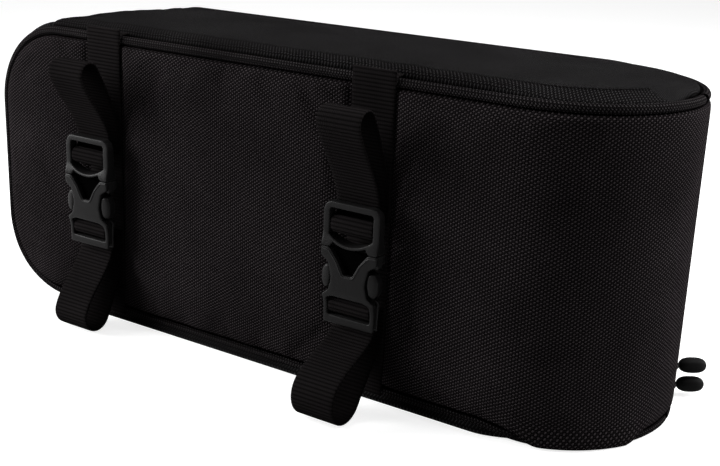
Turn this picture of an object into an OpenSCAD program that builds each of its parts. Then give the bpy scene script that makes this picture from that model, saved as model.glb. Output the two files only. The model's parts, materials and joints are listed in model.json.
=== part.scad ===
// Padded fabric case for guitar pedals, standing on its long edge.
// +X runs to the right along the length, -Y is the strapped front and +Z is up.
// The origin is the middle of the bottom face. All sizes are in millimetres.

/* [Case] */
// Length of the case, from the squared left end to the tip of the round right end
case_length = 412; // [380:1:450]
// Depth of the case, front face to back face
case_depth = 130; // [120:1:144]
// Height of the case
case_height = 170; // [164:1:190]
// Radius of the two rounded corners at the left end, seen from the front
corner_radius = 50; // [36:1:60]
// How far round the left corners the top panel reaches before the end panel starts
end_seam = 10; // [4:1:16]

/* [Walls] */
// Thickness of the outer fabric
fabric_t = 1.2; // [1:0.1:1.5]
// Thickness of the foam boards in the walls
foam_t = 4.8; // [4.4:0.1:5.4]
// Thickness of the sewn-in lining
lining_t = 1; // [0.6:0.1:1.4]
// Diameter of the piping along the edges
piping_d = 4.9; // [4:0.1:4.9]
// Width of the corner channel that the piping lies in
piping_channel = 5; // [5:0.1:5.4]

/* [Lid] */
// Thickness of the padded lid, fabric and lining included
lid_t = 10; // [8:0.5:12]
// Distance from the edge of the case to the edge of the lid
lid_inset = 14; // [14:0.1:15]
// How far the padding swells the lid out in its middle
lid_swell = 3; // [1:0.5:4]
// Width of the rounded shoulder round that swell
lid_shoulder = 9; // [6:0.5:12]
// Height of the hinge line above the bottom
hinge_z = 9.5; // [9.3:0.1:9.8]
// Radius of the rolled bead on the hinge line
bead_r = 1.2; // [0.8:0.1:1.3]
// Gap between the bead and the flap that is sewn to the lid
hinge_gap = 0.3; // [0.2:0.05:0.4]

/* [Zipper] */
// Distance from the edge of the case to the middle of the zipper
zip_inset = 9.5; // [9.3:0.1:9.8]
// Angle round the right end at which the zipper comes down
zip_angle = 36; // [32:1:44]
// Corner radius where the zipper turns down at the right end
zip_corner = 20; // [16:1:24]
// Depth of the tape's outer face under the case's surface
tape_depth = 2.2; // [2:0.1:2.4]
// Thickness of the woven tape
tape_t = 0.8; // [0.6:0.1:1]
// Height of the coil over the tape
coil_t = 1.4; // [1:0.1:1.5]
// Width of each half of the coil
coil_w = 1.3; // [1:0.1:1.6]
// Gap between the two halves of the zipper
zip_gap = 0.9; // [0.8:0.05:1.2]

/* [Sliders and pulls] */
// Width of a slider
slider_w = 8; // [7:0.1:8]
// Length of a slider along the zipper
slider_l = 10.6; // [9:0.1:10.8]
// Height of the lower slider's bottom edge
slider_base = 4.2; // [4.2:0.1:5]
// Distance between the two sliders
slider_pitch = 11; // [11:0.1:13]
// Radius of the pin that a pull swings on
pull_pin_r = 0.8; // [0.6:0.05:1]
// Running clearance between that pin and the pull's eye
pull_clearance = 0.2; // [0.1:0.05:0.3]
// Radius of a moulded rubber pull
pull_r = 4.5; // [3.5:0.1:4.5]
// Length of the rubber part of a pull
pull_l = 16; // [12:0.5:20]

/* [Straps] */
// Centre of the left strap along the length
strap_left_x = -117; // [-135:1:-90]
// Centre of the right strap along the length
strap_right_x = 65; // [30:1:90]
// Width of the webbing
webbing_w = 25; // [20:0.5:25]
// Thickness of the webbing
webbing_t = 1.5; // [1.2:0.1:1.6]
// Gap between a strap and what it lies on
strap_gap = 0.1; // [0.05:0.05:0.2]
// How far the middle of the buckle stands out from the front face
buckle_stand = 14; // [13:0.5:18]
// Height of the left buckle's bottom edge
buckle_left_z = 49; // [46:1:54]
// Height of the right buckle's bottom edge
buckle_right_z = 44; // [42:1:50]
// Radius of the folds at the ends of the loops
fold_r = 6.5; // [5:0.5:8]
// How far the middle of the upper fold stands out
upper_fold_out = 24; // [20:1:28]
// How far the middle of the upper fold lies below the top
upper_fold_drop = 19; // [17:0.5:24]
// How far the middle of the lower fold stands out
lower_fold_out = 33; // [26:1:36]

/* [Buckles] */
// Width of a buckle
buckle_w = 33; // [33:0.5:36]
// Length of the closed buckle
buckle_l = 64; // [64:0.5:68]
// Thickness of the socket half
socket_t = 9; // [8.6:0.1:10]
// Thickness of the plug half's frame
frame_t = 5.2; // [4.8:0.1:5.6]
// Height of the socket half
socket_l = 38; // [38:0.1:38.4]
// Height of the plug's crossbar, between its slot and the socket
crossbar_l = 4.9; // [4.4:0.1:5.4]
// Gap between the closed halves
mate_gap = 0.6; // [0.4:0.1:0.8]
// Radius of the bars that the webbing turns round
bar_r = 1.6; // [1.2:0.1:1.8]
// Radius of a prong's root
root_r = 1.6; // [1.3:0.05:1.7]
// Clearance round a prong's root
root_clearance = 0.15; // [0.1:0.05:0.2]
// Distance of a prong's root from the buckle's middle
root_x = 8.3; // [8:0.1:8.6]

/* [Hidden] */
$fn = 96;

cloth = [0.10, 0.095, 0.095];
cloth_light = [0.14, 0.13, 0.13];
foam_grey = [0.35, 0.35, 0.36];
lining_grey = [0.22, 0.22, 0.23];
web_black = [0.06, 0.055, 0.055];
plastic = [0.13, 0.12, 0.12];
rubber_grey = [0.17, 0.17, 0.17];

// The case seen from above is a rectangle with a half circle at its right end.
end_r = case_depth / 2;
end_x = case_length / 2 - end_r;
left_x = -case_length / 2;
corner_x = left_x + corner_radius;
seam_x = corner_x - end_seam;
far = 2 * case_length;
// Nothing of the case or its lid reaches this far from the middle of its depth.
beyond = end_r + lid_swell + 1;

// Depths under the surface at which the layers of the wall end
foam_in = fabric_t + foam_t;
wall_t = foam_in + lining_t;
piping_in = piping_channel / 2;

// Depths and insets of the zipper's parts
tape_in = tape_depth + tape_t;
coil_out = tape_depth - coil_t;
zip_half = zip_gap / 2;
lid_wall_in = lid_t - lining_t;

// The hinge line runs in the middle of the flap's thickness, along the straight of the back.
hinge_y = end_r - tape_depth - tape_t / 2;
hinge_x0 = corner_x + 6;
sill_x1 = end_x + end_r * cos(zip_angle + 5) - 3;
flap_z0 = hinge_z + bead_r + hinge_gap;
bead_seat_z = hinge_z - bead_r / 2;

// The lid's half of the zipper starts above the parked sliders.
slider_top = slider_base + slider_pitch + slider_l;
lid_zip_z0 = slider_top + 1.7;
zip_end_z = lid_inset + 0.2;

// ---- Outer shape and its layers ----

// Outline from above, t inside the surface
module plan(t) {
    translate([left_x + t, t - end_r])
        square([end_x - left_x - t, 2 * (end_r - t)]);
    translate([end_x, 0])
        circle(r = end_r - t);
}

// The same outline, left open at the left end
module plan_open(t) {
    translate([left_x - 1, t - end_r])
        square([end_x - left_x + 1, 2 * (end_r - t)]);
    translate([end_x, 0])
        circle(r = end_r - t);
}

// Outline from the front, t inside the surface, open at the right end
module elevation(t) {
    translate([corner_x, t])
        square([case_length, case_height - 2 * t]);
    translate([left_x + t, corner_radius])
        square([corner_radius, case_height - 2 * corner_radius]);
    for (z = [corner_radius, case_height - corner_radius])
        translate([corner_x, z])
            circle(r = corner_radius - t);
}

// Extrudes a front outline from y0 back to y1
module along_y(y0, y1) {
    translate([0, y1, 0])
        rotate([90, 0, 0])
            linear_extrude(y1 - y0)
                children();
}

module elevation_prism(t) {
    along_y(-beyond, beyond)
        elevation(t);
}

module envelope(t) {
    intersection() {
        translate([0, 0, t])
            linear_extrude(case_height - 2 * t)
                plan(t);
        elevation_prism(t);
    }
}

// The skin of the case between two depths
module layer(t0, t1) {
    difference() {
        envelope(t0);
        envelope(t1);
    }
}

// Everything outside the channel that the piping lies in
module clear_of_piping() {
    translate([0, 0, -1])
        linear_extrude(case_height + 2)
            plan_open(piping_channel);
    elevation_prism(piping_channel);
}

// ---- The lid's window ----

// Angle round the right end at distance i from the wrap panel's end of the window
function edge_angle(i) = zip_angle + (i - zip_inset) / end_r * 180 / PI;

// The curve of the corner runs this far past the top edge, so that the two cross cleanly.
corner_lift = 0.1;
corner_angle = edge_angle(zip_inset + zip_corner);
function window_r(i) = (end_r - piping_in) * sin(corner_angle - edge_angle(i));
function window_z(i) = case_height - i - window_r(i) + corner_lift;

// The part of the back, at distance i inside its edges, that opens
module window(i) {
    along_y(0, beyond)
        intersection() {
            elevation(i);
            translate([left_x, 0])
                square([end_x - left_x, case_height]);
        }
    translate([end_x, 0, 0])
        difference() {
            translate([0, 0, i])
                linear_extrude(case_height - 2 * i)
                    window_wedge(edge_angle(i));
            rotate([0, 0, corner_angle])
                window_corner(window_r(i), window_z(i));
        }
}

module window_wedge(a) {
    polygon([
        [0, 0], case_depth * [cos(a), sin(a)],
        case_depth * [1, 2], case_depth * [0, 2]
    ]);
}

// What the rounded corner of the window leaves standing
module window_corner(r, z) {
    difference() {
        translate([end_r / 2, -end_r, z])
            cube([end_r, end_r, case_height]);
        translate([0, 0, z])
            rotate([0, 90, 0])
                cylinder(r = r, h = case_depth);
    }
}

// A strip between two insets of the window, between two depths
module back_strip(t0, t1, i0, i1) {
    intersection() {
        layer(t0, t1);
        difference() {
            window(i0);
            window(i1);
        }
    }
}

module slab_z(z0, z1, x0 = -far, x1 = far) {
    translate([x0, 0, z0])
        cube([x1 - x0, case_depth, z1 - z0]);
}

// ---- Case: outer panels ----

module wrap_panel() {
    color(cloth)
        difference() {
            intersection() {
                layer(0, fabric_t);
                elevation_prism(piping_channel);
            }
            window(piping_channel);
        }
}

module edge_panel() {
    difference() {
        intersection() {
            layer(0, fabric_t);
            clear_of_piping();
        }
        elevation_prism(fabric_t);
    }
}

module half_space(x0, x1, z0, z1) {
    translate([x0, -case_depth, z0])
        cube([x1 - x0, 2 * case_depth, z1 - z0]);
}

module top_space() {
    half_space(seam_x, far, case_height / 2, case_height + 1);
}

module bottom_space() {
    half_space(seam_x, far, -1, case_height / 2);
}

module left_space() {
    half_space(-far, seam_x, -1, case_height + 1);
}

module top_panel() {
    color(cloth_light)
        intersection() {
            edge_panel();
            top_space();
        }
}

module bottom_panel() {
    color(cloth_light)
        intersection() {
            edge_panel();
            bottom_space();
        }
}

module left_panel() {
    color(cloth)
        intersection() {
            edge_panel();
            left_space();
        }
}

// ---- Case: foam boards and lining ----

module wrap_foam() {
    color(foam_grey)
        difference() {
            intersection() {
                layer(fabric_t, foam_in);
                elevation_prism(foam_in);
            }
            window(piping_channel);
        }
}

// Foam under the top, bottom and end panels, with the zipper tape's seat cut into its back edge
module edge_foam() {
    difference() {
        intersection() {
            layer(fabric_t, foam_in);
            clear_of_piping();
        }
        elevation_prism(foam_in);
        intersection() {
            layer(0, tape_in);
            window(piping_channel);
        }
    }
}

module top_foam() {
    color(foam_grey)
        intersection() {
            edge_foam();
            top_space();
        }
}

module bottom_foam() {
    color(foam_grey)
        intersection() {
            edge_foam();
            bottom_space();
        }
}

module left_foam() {
    color(foam_grey)
        intersection() {
            edge_foam();
            left_space();
        }
}

module case_lining() {
    color(lining_grey)
        difference() {
            layer(foam_in, wall_t);
            intersection() {
                window(foam_in);
                union() {
                    window(wall_t);
                    translate([end_x, 0, 0])
                        cube([case_depth, case_depth, case_height]);
                }
            }
        }
}

// ---- Case: piping ----

module piping_rod(l) {
    rotate([0, 90, 0])
        cylinder(d = piping_d, h = l);
}

// Piping along the top, left end and bottom of one face
module piping_side(y) {
    for (z = [piping_in, case_height - piping_in])
        translate([corner_x, y, z])
            piping_rod(end_x - corner_x);
    translate([left_x + piping_in, y, corner_radius])
        cylinder(d = piping_d, h = case_height - 2 * corner_radius);
    translate([corner_x, y, case_height - corner_radius])
        piping_corner(90);
    translate([corner_x, y, corner_radius])
        piping_corner(180);
}

module piping_corner(a) {
    rotate([90, 0, 0])
        rotate([0, 0, a])
            rotate_extrude(angle = 90)
                translate([corner_radius - piping_in, 0])
                    circle(d = piping_d);
}

// Piping round the right end, from angle a0 to a1
module piping_end(a0, a1) {
    for (z = [piping_in, case_height - piping_in])
        translate([end_x, 0, z])
            rotate([0, 0, a0])
                rotate_extrude(angle = a1 - a0)
                    translate([end_r - piping_in, 0])
                        circle(d = piping_d);
}

module front_piping() {
    color(cloth) {
        piping_side(piping_in - end_r);
        piping_end(-90, edge_angle(piping_channel));
    }
}

module back_piping() {
    color(cloth) {
        piping_side(end_r - piping_in);
        mirror([0, 1, 0])
            piping_end(-90, -edge_angle(piping_channel));
    }
}

// ---- Hinge and zipper ----

module hinge_strip() {
    color(cloth) {
        intersection() {
            layer(tape_depth, tape_in);
            union() {
                slab_z(piping_channel, bead_seat_z, hinge_x0, end_x);
                slab_z(piping_channel, lid_inset - hinge_gap, end_x, sill_x1);
            }
        }
        translate([hinge_x0, hinge_y, hinge_z])
            rotate([0, 90, 0])
                cylinder(r = bead_r, h = end_x - hinge_x0);
    }
}

module lid_flap() {
    color(cloth)
        intersection() {
            layer(tape_depth, tape_in);
            slab_z(flap_z0, lid_inset, hinge_x0, end_x);
        }
}

module zip_tape_case() {
    color(web_black)
        difference() {
            back_strip(tape_depth, tape_in, piping_channel, zip_inset - zip_half);
            slab_z(0, zip_end_z, hinge_x0, sill_x1);
        }
}

module zip_coil_case() {
    color(plastic)
        difference() {
            back_strip(coil_out, tape_depth, zip_inset - zip_half - coil_w, zip_inset - zip_half);
            slab_z(0, zip_end_z, -far, end_x);
            translate([end_x, 0, 0])
                linear_extrude(zip_end_z)
                    window_wedge(edge_angle(zip_inset - zip_half));
        }
}

// Moulded stop on the tape below the left end of the coil
module zip_end_stop() {
    color(plastic)
        intersection() {
            back_strip(coil_out, tape_depth, zip_inset - zip_half - coil_w, zip_inset - zip_half);
            slab_z(zip_end_z - 4, zip_end_z, -far, corner_x);
        }
}

module below_lid_zip() {
    slab_z(0, zip_end_z);
    slab_z(0, lid_zip_z0, end_x, far);
}

module zip_tape_lid() {
    color(web_black)
        difference() {
            back_strip(tape_depth, tape_in, zip_inset + zip_half, lid_inset);
            below_lid_zip();
        }
}

module zip_coil_lid() {
    color(plastic)
        difference() {
            back_strip(coil_out, tape_depth, zip_inset + zip_half, zip_inset + zip_half + coil_w);
            below_lid_zip();
        }
}

// ---- Lid ----

// The outline of the lid at inset i, as a thin sheet that lies out from the surface
module lid_sheet(out, i) {
    intersection() {
        layer(-out, fabric_t / 4 - out);
        window(i);
    }
}

// The swell rises this far inside the lid's edge, from within the fabric.
crown_ledge = 0.4;

// The padding's swell: steep at the lid's edge and flat in its middle
module lid_crown() {
    difference() {
        hull() {
            lid_sheet(-fabric_t / 2, lid_inset + crown_ledge);
            lid_sheet(0.6 * lid_swell, lid_inset + 0.2 * lid_shoulder);
            lid_sheet(0.9 * lid_swell, lid_inset + 0.5 * lid_shoulder);
            lid_sheet(lid_swell, lid_inset + lid_shoulder);
        }
        envelope(0.6 * fabric_t);
    }
}

module lid_cover() {
    color(cloth) {
        lid_crown();
        intersection() {
            layer(0, fabric_t);
            window(lid_inset);
        }
        back_strip(fabric_t, lid_wall_in, lid_inset, lid_inset + fabric_t);
    }
}

module lid_foam() {
    color(foam_grey)
        intersection() {
            layer(fabric_t, lid_wall_in);
            window(lid_inset + fabric_t);
        }
}

module lid_lining() {
    color(lining_grey)
        intersection() {
            layer(lid_wall_in, lid_t);
            window(lid_inset);
        }
}

// ---- Sliders and pulls ----

// Local frame on the zipper's upright run: +X out of the surface, +Y towards the lid
module on_zipper(z) {
    translate([end_x, 0, z])
        rotate([0, 0, zip_angle])
            translate([end_r, 0, 0])
                children();
}

slider_plate = 1.35;
slider_play = 0.4;
plate_x = slider_play - coil_out - slider_play / 8;
inner_x = -tape_in - slider_play - slider_plate;
// The plates inside the case start above the bottom foam.
sill_rise = foam_in - slider_base + 0.3;
lip_t = 0.7;
post_w = zip_gap - 0.4;
ear_t = 1;
ear_gap = 4.8;
pin_out = 3.1;
pin_up = 2.1;

module slider() {
    plates_l = slider_l - sill_rise;
    translate([plate_x, -slider_w / 2, 0])
        cube([slider_plate, slider_w, slider_l]);
    translate([inner_x, -slider_w / 2, sill_rise])
        cube([slider_plate, slider_w, plates_l]);
    for (side = [-slider_w / 2, slider_w / 2 - lip_t])
        translate([slider_play - tape_depth, side, sill_rise])
            cube([plate_x + tape_depth, lip_t, plates_l]);
    translate([inner_x + slider_plate / 2, -post_w / 2, slider_l - 3])
        cube([plate_x - inner_x, post_w, 2.6]);
    for (side = [-1, 1])
        translate([plate_x + slider_plate / 2, side * (ear_gap + ear_t) / 2 - ear_t / 2, 0.4])
            cube([pin_out + 1.1 - plate_x - slider_plate / 2, ear_t, 2 * (pin_up - 0.4)]);
    translate([pin_out, -ear_gap / 2 - ear_t, pin_up])
        rotate([-90, 0, 0])
            cylinder(r = pull_pin_r, h = ear_gap + 2 * ear_t);
}

module slider_lower() {
    color(plastic)
        on_zipper(slider_base)
            slider();
}

module slider_upper() {
    color(plastic)
        on_zipper(slider_base + slider_pitch)
            slider();
}

eye_r = 1.9;
eye_w = ear_gap - 0.4;
pull_start = 2.6;

// A pull, with its eye round the slider's pin
module pull() {
    translate([pin_out, 0, pin_up]) {
        difference() {
            union() {
                translate([0, -eye_w / 2, 0])
                    rotate([-90, 0, 0])
                        cylinder(r = eye_r, h = eye_w);
                translate([0, -eye_w / 2, -1.2])
                    cube([pull_start + 2, eye_w, 2.4]);
            }
            translate([0, -eye_w, 0])
                rotate([-90, 0, 0])
                    cylinder(r = pull_pin_r + pull_clearance, h = 2 * eye_w);
        }
        for (x = [pull_start + pull_r, pull_start + pull_l - pull_r])
            translate([x, 0, 0])
                sphere(r = pull_r);
        translate([pull_start + pull_r, 0, 0])
            rotate([0, 90, 0])
                cylinder(r = pull_r, h = pull_l - 2 * pull_r);
    }
}

module pull_lower() {
    color(rubber_grey)
        on_zipper(slider_base)
            pull();
}

module pull_upper() {
    color(rubber_grey)
        on_zipper(slider_base + slider_pitch)
            pull();
}

// ---- Webbing ----

// Points of an arc round c, as [distance out, height]
function arc(c, r, a0, a1, n) = [for (k = [0:n]) c + r * [cos(a0 + (a1 - a0) * k / n), sin(a0 + (a1 - a0) * k / n)]];

// Points of a cubic curve
function bezier(a, b, c, d, n) = [
    for (k = [0:n])
        let (t = k / n, s = 1 - t)
            s * s * s * a + 3 * s * s * t * b + 3 * s * t * t * c + t * t * t * d
];

function unit(v) = v / norm(v);
function left_of(v) = [-v[1], v[0]];

// Outline of a ribbon of thickness t along a path
function ribbon(path, t) =
    let (
        last = len(path) - 1,
        sides = [
            for (k = [0:last])
                left_of(unit(path[min(k + 1, last)] - path[max(k - 1, 0)])) * t / 2
        ]
    )
    concat(
        [for (k = [0:last]) path[k] + sides[k]],
        [for (k = [last:-1:0]) path[k] - sides[k]]
    );

// Webbing whose edge follows a path of [distance out, height], centred at x
module webbing(x, path) {
    translate([x - webbing_w / 2, -end_r, 0])
        mirror([0, 1, 0])
            rotate([90, 0, 90])
                linear_extrude(webbing_w)
                    polygon(ribbon(path, webbing_t));
}

belt_out = webbing_t / 2 + strap_gap;
belt_bend = piping_in + belt_out;

// Flat webbing sewn down the front, over the top piping
module belt(x) {
    color(web_black)
        webbing(x, concat(
            [[belt_out, piping_in], [belt_out, case_height / 2]],
            arc([-piping_in, case_height - piping_in], belt_bend, 0, 90, 8),
            [[-piping_channel - 1, case_height + belt_out]]
        ));
}

module belt_left() {
    belt(strap_left_x);
}

module belt_right() {
    belt(strap_right_x);
}

sewn_out = belt_out + webbing_t + strap_gap;
bar_back = 0.6;
bar_out = buckle_stand - bar_back;
wrap_r = bar_r + strap_gap + webbing_t / 2;
// Distance out of the webbing where it passes behind a frame's edge
pass_out = buckle_stand - frame_t / 2 - webbing_t / 2 - 0.45;
tail_out = pass_out - webbing_t - 0.35;
// Length of the sewn run at the start of a loop
sewn_l = 10;
fold_back_angle = 150;
fold_front_angle = -20;
fold_back_dir = [sin(fold_back_angle), -cos(fold_back_angle)];
fold_front_dir = [sin(fold_front_angle), -cos(fold_front_angle)];

// Path of a strap: sewn to the belt, out round the fold, behind the frame's edge, round the bar
// and back to a tail. Heights count from the bar, towards the fold.
function strap_path(sewn_h, fold_h, fold_out, pass_h) =
    let (
        back_start = [fold_out, fold_h] + fold_r * [cos(fold_back_angle), sin(fold_back_angle)],
        front_start = [fold_out, fold_h] + fold_r * [cos(fold_front_angle), sin(fold_front_angle)]
    )
    concat(
        [[sewn_out, sewn_h]],
        bezier([sewn_out, sewn_h + sewn_l], [sewn_out, sewn_h + 2 * sewn_l],
               back_start - 12 * fold_back_dir, back_start, 8),
        arc([fold_out, fold_h], fold_r, fold_back_angle - 17, fold_front_angle + 17, 8),
        bezier(front_start, front_start + 14 * fold_front_dir,
               [pass_out, pass_h + 13], [pass_out, pass_h], 8),
        [[pass_out + 0.5, pass_h - 2.4]],
        arc([bar_out, 0], wrap_r, 35, -125, 8),
        [[tail_out + 0.9, 0.6], [tail_out, 3.4], [tail_out, 7]]
    );

function turned(path, bar_z, s) = [for (p = path) [p[0], bar_z + s * p[1]]];

rim = 3;
plug_z = socket_l + mate_gap;
slot_l = buckle_l - plug_z - rim - crossbar_l;
plug_bar_h = buckle_l - rim - slot_l / 2;
socket_bar_h = 9.4;
upper_fold_z = case_height - upper_fold_drop;
lower_fold_z = fold_r + webbing_t / 2 + 2;

module strap_upper(x, z) {
    bar_z = z + plug_bar_h;
    color(web_black)
        webbing(x, turned(
            strap_path(2, upper_fold_z - bar_z, upper_fold_out, buckle_l - plug_bar_h - 2.5), bar_z, 1));
}

module strap_lower(x, z) {
    bar_z = z + socket_bar_h;
    color(web_black)
        webbing(x, turned(
            strap_path(2, bar_z - lower_fold_z, lower_fold_out, socket_bar_h - 1), bar_z, -1));
}

module strap_upper_left() {
    strap_upper(strap_left_x, buckle_left_z);
}

module strap_lower_left() {
    strap_lower(strap_left_x, buckle_left_z);
}

module strap_upper_right() {
    strap_upper(strap_right_x, buckle_right_z);
}

module strap_lower_right() {
    strap_lower(strap_right_x, buckle_right_z);
}

// ---- Buckles ----

// Local frame of a buckle: its bottom edge in the middle, -Y to the front
module on_front(x, z) {
    translate([x, -end_r - buckle_stand, z])
        children();
}

// Rectangle with round corners, centred across, from z0 up to z1
module round_rect(w, z0, z1, r) {
    translate([-w / 2 + r, z0])
        square([w - 2 * r, z1 - z0]);
    translate([-w / 2, z0 + r])
        square([w, z1 - z0 - 2 * r]);
    for (x = [-1, 1], z = [z0 + r, z1 - r])
        translate([x * (w / 2 - r), z])
            circle(r = r);
}

module plate(t) {
    along_y(-t / 2, t / 2)
        children();
}

module bar(w, y, z) {
    translate([-w / 2, y, z])
        rotate([0, 90, 0])
            cylinder(r = bar_r, h = w);
}

slot_w = webbing_w + 0.6;
cavity_w = slot_w - 0.4;
cavity_t = frame_t + 0.2;
cavity_z = 18;
window_z0 = 19;
window_z1 = 31.2;
waist_r = 4.2;
socket_foot = 15.5;
foot_w = buckle_w - 3;
notch_w = 18;
notch_z = 27.5;
arm_t = 4.8;
tongue_w = 4.4;
tongue_t = 2.6;
tongue_z = 22;
root_z = plug_z + 2;
sweep_room = 2.4;

module socket_outline() {
    difference() {
        union() {
            round_rect(foot_w, 0, socket_foot + 4, 3);
            round_rect(buckle_w, socket_foot, socket_l, 5);
        }
        for (side = [-1, 1])
            translate([side * (buckle_w / 2 + 1.2), socket_foot + 1])
                circle(r = waist_r);
    }
}

module socket() {
    color(plastic) {
        difference() {
            union() {
                intersection() {
                    plate(socket_t)
                        socket_outline();
                    translate([-buckle_w, -socket_t, socket_foot])
                        cube([2 * buckle_w, 2 * socket_t, socket_l]);
                }
                plate(frame_t)
                    socket_outline();
            }
            translate([-cavity_w / 2, -cavity_t / 2, cavity_z])
                cube([cavity_w, cavity_t, socket_l]);
            translate([-buckle_w, -cavity_t / 2, window_z0])
                cube([2 * buckle_w, cavity_t, window_z1 - window_z0]);
            along_y(-socket_t, 0)
                polygon([
                    [-notch_w / 2, socket_l + 1], [notch_w / 2, socket_l + 1],
                    [1.5, notch_z], [-1.5, notch_z]
                ]);
            plate(2 * socket_t)
                round_rect(slot_w, rim, socket_foot - 1, 1);
        }
        bar(slot_w + rim, bar_back, socket_bar_h);
    }
}

module plug() {
    color(plastic) {
        difference() {
            plate(frame_t)
                round_rect(buckle_w, plug_z, buckle_l, 4.5);
            plate(2 * frame_t)
                round_rect(slot_w, buckle_l - rim - slot_l, buckle_l - rim, 1.5);
            for (side = [-1, 1]) {
                translate([side * root_x, -frame_t, root_z])
                    rotate([-90, 0, 0])
                        cylinder(r = root_r + root_clearance, h = 2 * frame_t);
                translate([side * root_x - (side > 0 ? sweep_room : root_r + 0.5), -frame_t, plug_z - 1])
                    cube([sweep_room + root_r + 0.5, 2 * frame_t, root_z - plug_z + 1]);
            }
        }
        bar(slot_w + rim, bar_back, plug_bar_h);
        translate([-tongue_w / 2, -tongue_t / 2, tongue_z])
            cube([tongue_w, tongue_t, plug_z - tongue_z + 1]);
    }
}

// Spring arm of the plug, with its button in the socket's side window
module prong(side) {
    button_x = buckle_w / 2;
    color(plastic)
        mirror([side < 0 ? 1 : 0, 0, 0]) {
            translate([root_x, -arm_t / 2, root_z])
                rotate([-90, 0, 0])
                    cylinder(r = root_r, h = arm_t);
            plate(arm_t)
                polygon([
                    [root_x - 1.4, root_z], [root_x + 1.4, root_z],
                    [cavity_w / 2 - 1, window_z1 + 0.3], [cavity_w / 2 - 0.9, window_z1 - 1],
                    [button_x - 0.6, window_z1 - 1.4], [button_x + 0.1, window_z1 - 4],
                    [button_x + 0.1, window_z0 + 4], [button_x - 0.6, window_z0 + 1.6],
                    [cavity_w / 2, window_z0 + 0.6], [root_x + 0.7, window_z0 + 0.9],
                    [root_x - 0.2, window_z0 + 5], [root_x - 1.3, window_z1 + 2]
                ]);
        }
}

module plug_left() {
    on_front(strap_left_x, buckle_left_z)
        plug();
}

module socket_left() {
    on_front(strap_left_x, buckle_left_z)
        socket();
}

module prong_left_a() {
    on_front(strap_left_x, buckle_left_z)
        prong(-1);
}

module prong_left_b() {
    on_front(strap_left_x, buckle_left_z)
        prong(1);
}

module plug_right() {
    on_front(strap_right_x, buckle_right_z)
        plug();
}

module socket_right() {
    on_front(strap_right_x, buckle_right_z)
        socket();
}

module prong_right_a() {
    on_front(strap_right_x, buckle_right_z)
        prong(-1);
}

module prong_right_b() {
    on_front(strap_right_x, buckle_right_z)
        prong(1);
}

wrap_panel();
top_panel();
left_panel();
bottom_panel();
wrap_foam();
top_foam();
left_foam();
bottom_foam();
case_lining();
front_piping();
back_piping();
hinge_strip();
zip_tape_case();
zip_coil_case();
zip_end_stop();
lid_cover();
lid_foam();
lid_lining();
lid_flap();
zip_tape_lid();
zip_coil_lid();
slider_upper();
slider_lower();
pull_upper();
pull_lower();
belt_left();
belt_right();
strap_upper_left();
strap_lower_left();
strap_upper_right();
strap_lower_right();
plug_left();
socket_left();
prong_left_a();
prong_left_b();
plug_right();
socket_right();
prong_right_a();
prong_right_b();
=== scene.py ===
import json
import math

import bmesh
import bpy
import numpy as np
from mathutils import Matrix, Vector
from mathutils.geometry import delaunay_2d_cdt


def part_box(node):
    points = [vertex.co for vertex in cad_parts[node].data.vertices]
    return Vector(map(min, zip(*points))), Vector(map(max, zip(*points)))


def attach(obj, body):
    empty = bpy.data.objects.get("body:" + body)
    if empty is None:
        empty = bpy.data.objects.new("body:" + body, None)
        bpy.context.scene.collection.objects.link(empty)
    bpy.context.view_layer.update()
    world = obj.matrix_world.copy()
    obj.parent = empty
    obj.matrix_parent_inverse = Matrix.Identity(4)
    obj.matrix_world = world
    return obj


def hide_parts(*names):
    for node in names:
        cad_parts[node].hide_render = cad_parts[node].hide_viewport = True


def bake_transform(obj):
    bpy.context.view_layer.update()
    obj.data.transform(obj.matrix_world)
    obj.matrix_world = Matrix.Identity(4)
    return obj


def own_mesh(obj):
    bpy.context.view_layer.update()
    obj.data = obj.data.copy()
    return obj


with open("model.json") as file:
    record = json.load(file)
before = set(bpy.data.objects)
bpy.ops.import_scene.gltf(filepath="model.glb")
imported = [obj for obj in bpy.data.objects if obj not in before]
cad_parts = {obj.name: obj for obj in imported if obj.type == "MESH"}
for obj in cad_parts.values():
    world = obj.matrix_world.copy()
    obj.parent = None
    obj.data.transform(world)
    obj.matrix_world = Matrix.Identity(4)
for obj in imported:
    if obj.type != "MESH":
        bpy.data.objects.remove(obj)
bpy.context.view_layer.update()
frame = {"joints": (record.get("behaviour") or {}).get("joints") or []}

MM = 0.001
PI = math.pi


# ---- Sizes, from the frame ----

def low(node):
    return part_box(node)[0]


def high(node):
    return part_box(node)[1]


def joint(name):
    return next(j for j in frame["joints"] if j["name"] == name)


HEIGHT = high("top_panel").z
END_R = -low("wrap_panel").y
LEFT_X = low("left_panel").x
TIP_X = high("wrap_panel").x
END_X = TIP_X - END_R
CHANNEL = low("wrap_panel").z
SEAM_X = low("top_panel").x
LID_INSET = low("lid_cover").z
PIN = joint("pull_upper_swing")["pos_m"]
ZIP_ANGLE = math.atan2(PIN[1], PIN[0] - END_X)

CORNER_R = 50 * MM
CORNER_X = LEFT_X + CORNER_R
WALL_T = 7 * MM
FOAM_IN = 6 * MM
LID_T = 10 * MM
LINING_T = 1 * MM
PIPING_R = 2.45 * MM
ZIP_INSET = 9.5 * MM
ZIP_CORNER = 20 * MM
ZIP_HALF = 0.45 * MM
TAPE_DEPTH = 2.2 * MM
TAPE_T = 0.8 * MM
SHEET_GAP = 0.05 * MM

STRAP_X = {side: (low(f"belt_{side}").x + high(f"belt_{side}").x) / 2 for side in ("left", "right")}
STRAP_W = high("belt_left").x - low("belt_left").x
STRAP_T = 1.5 * MM
BUCKLE_Z = {side: low(f"socket_{side}").z for side in ("left", "right")}
BUCKLE_D = -(low("plug_left").y + high("plug_left").y) / 2 - END_R

FRONT_L = END_X - LEFT_X
END_L = PI * END_R


def ease(t):
    t = np.clip(t, 0, 1)
    return t * t * (3 - 2 * t)


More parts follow.
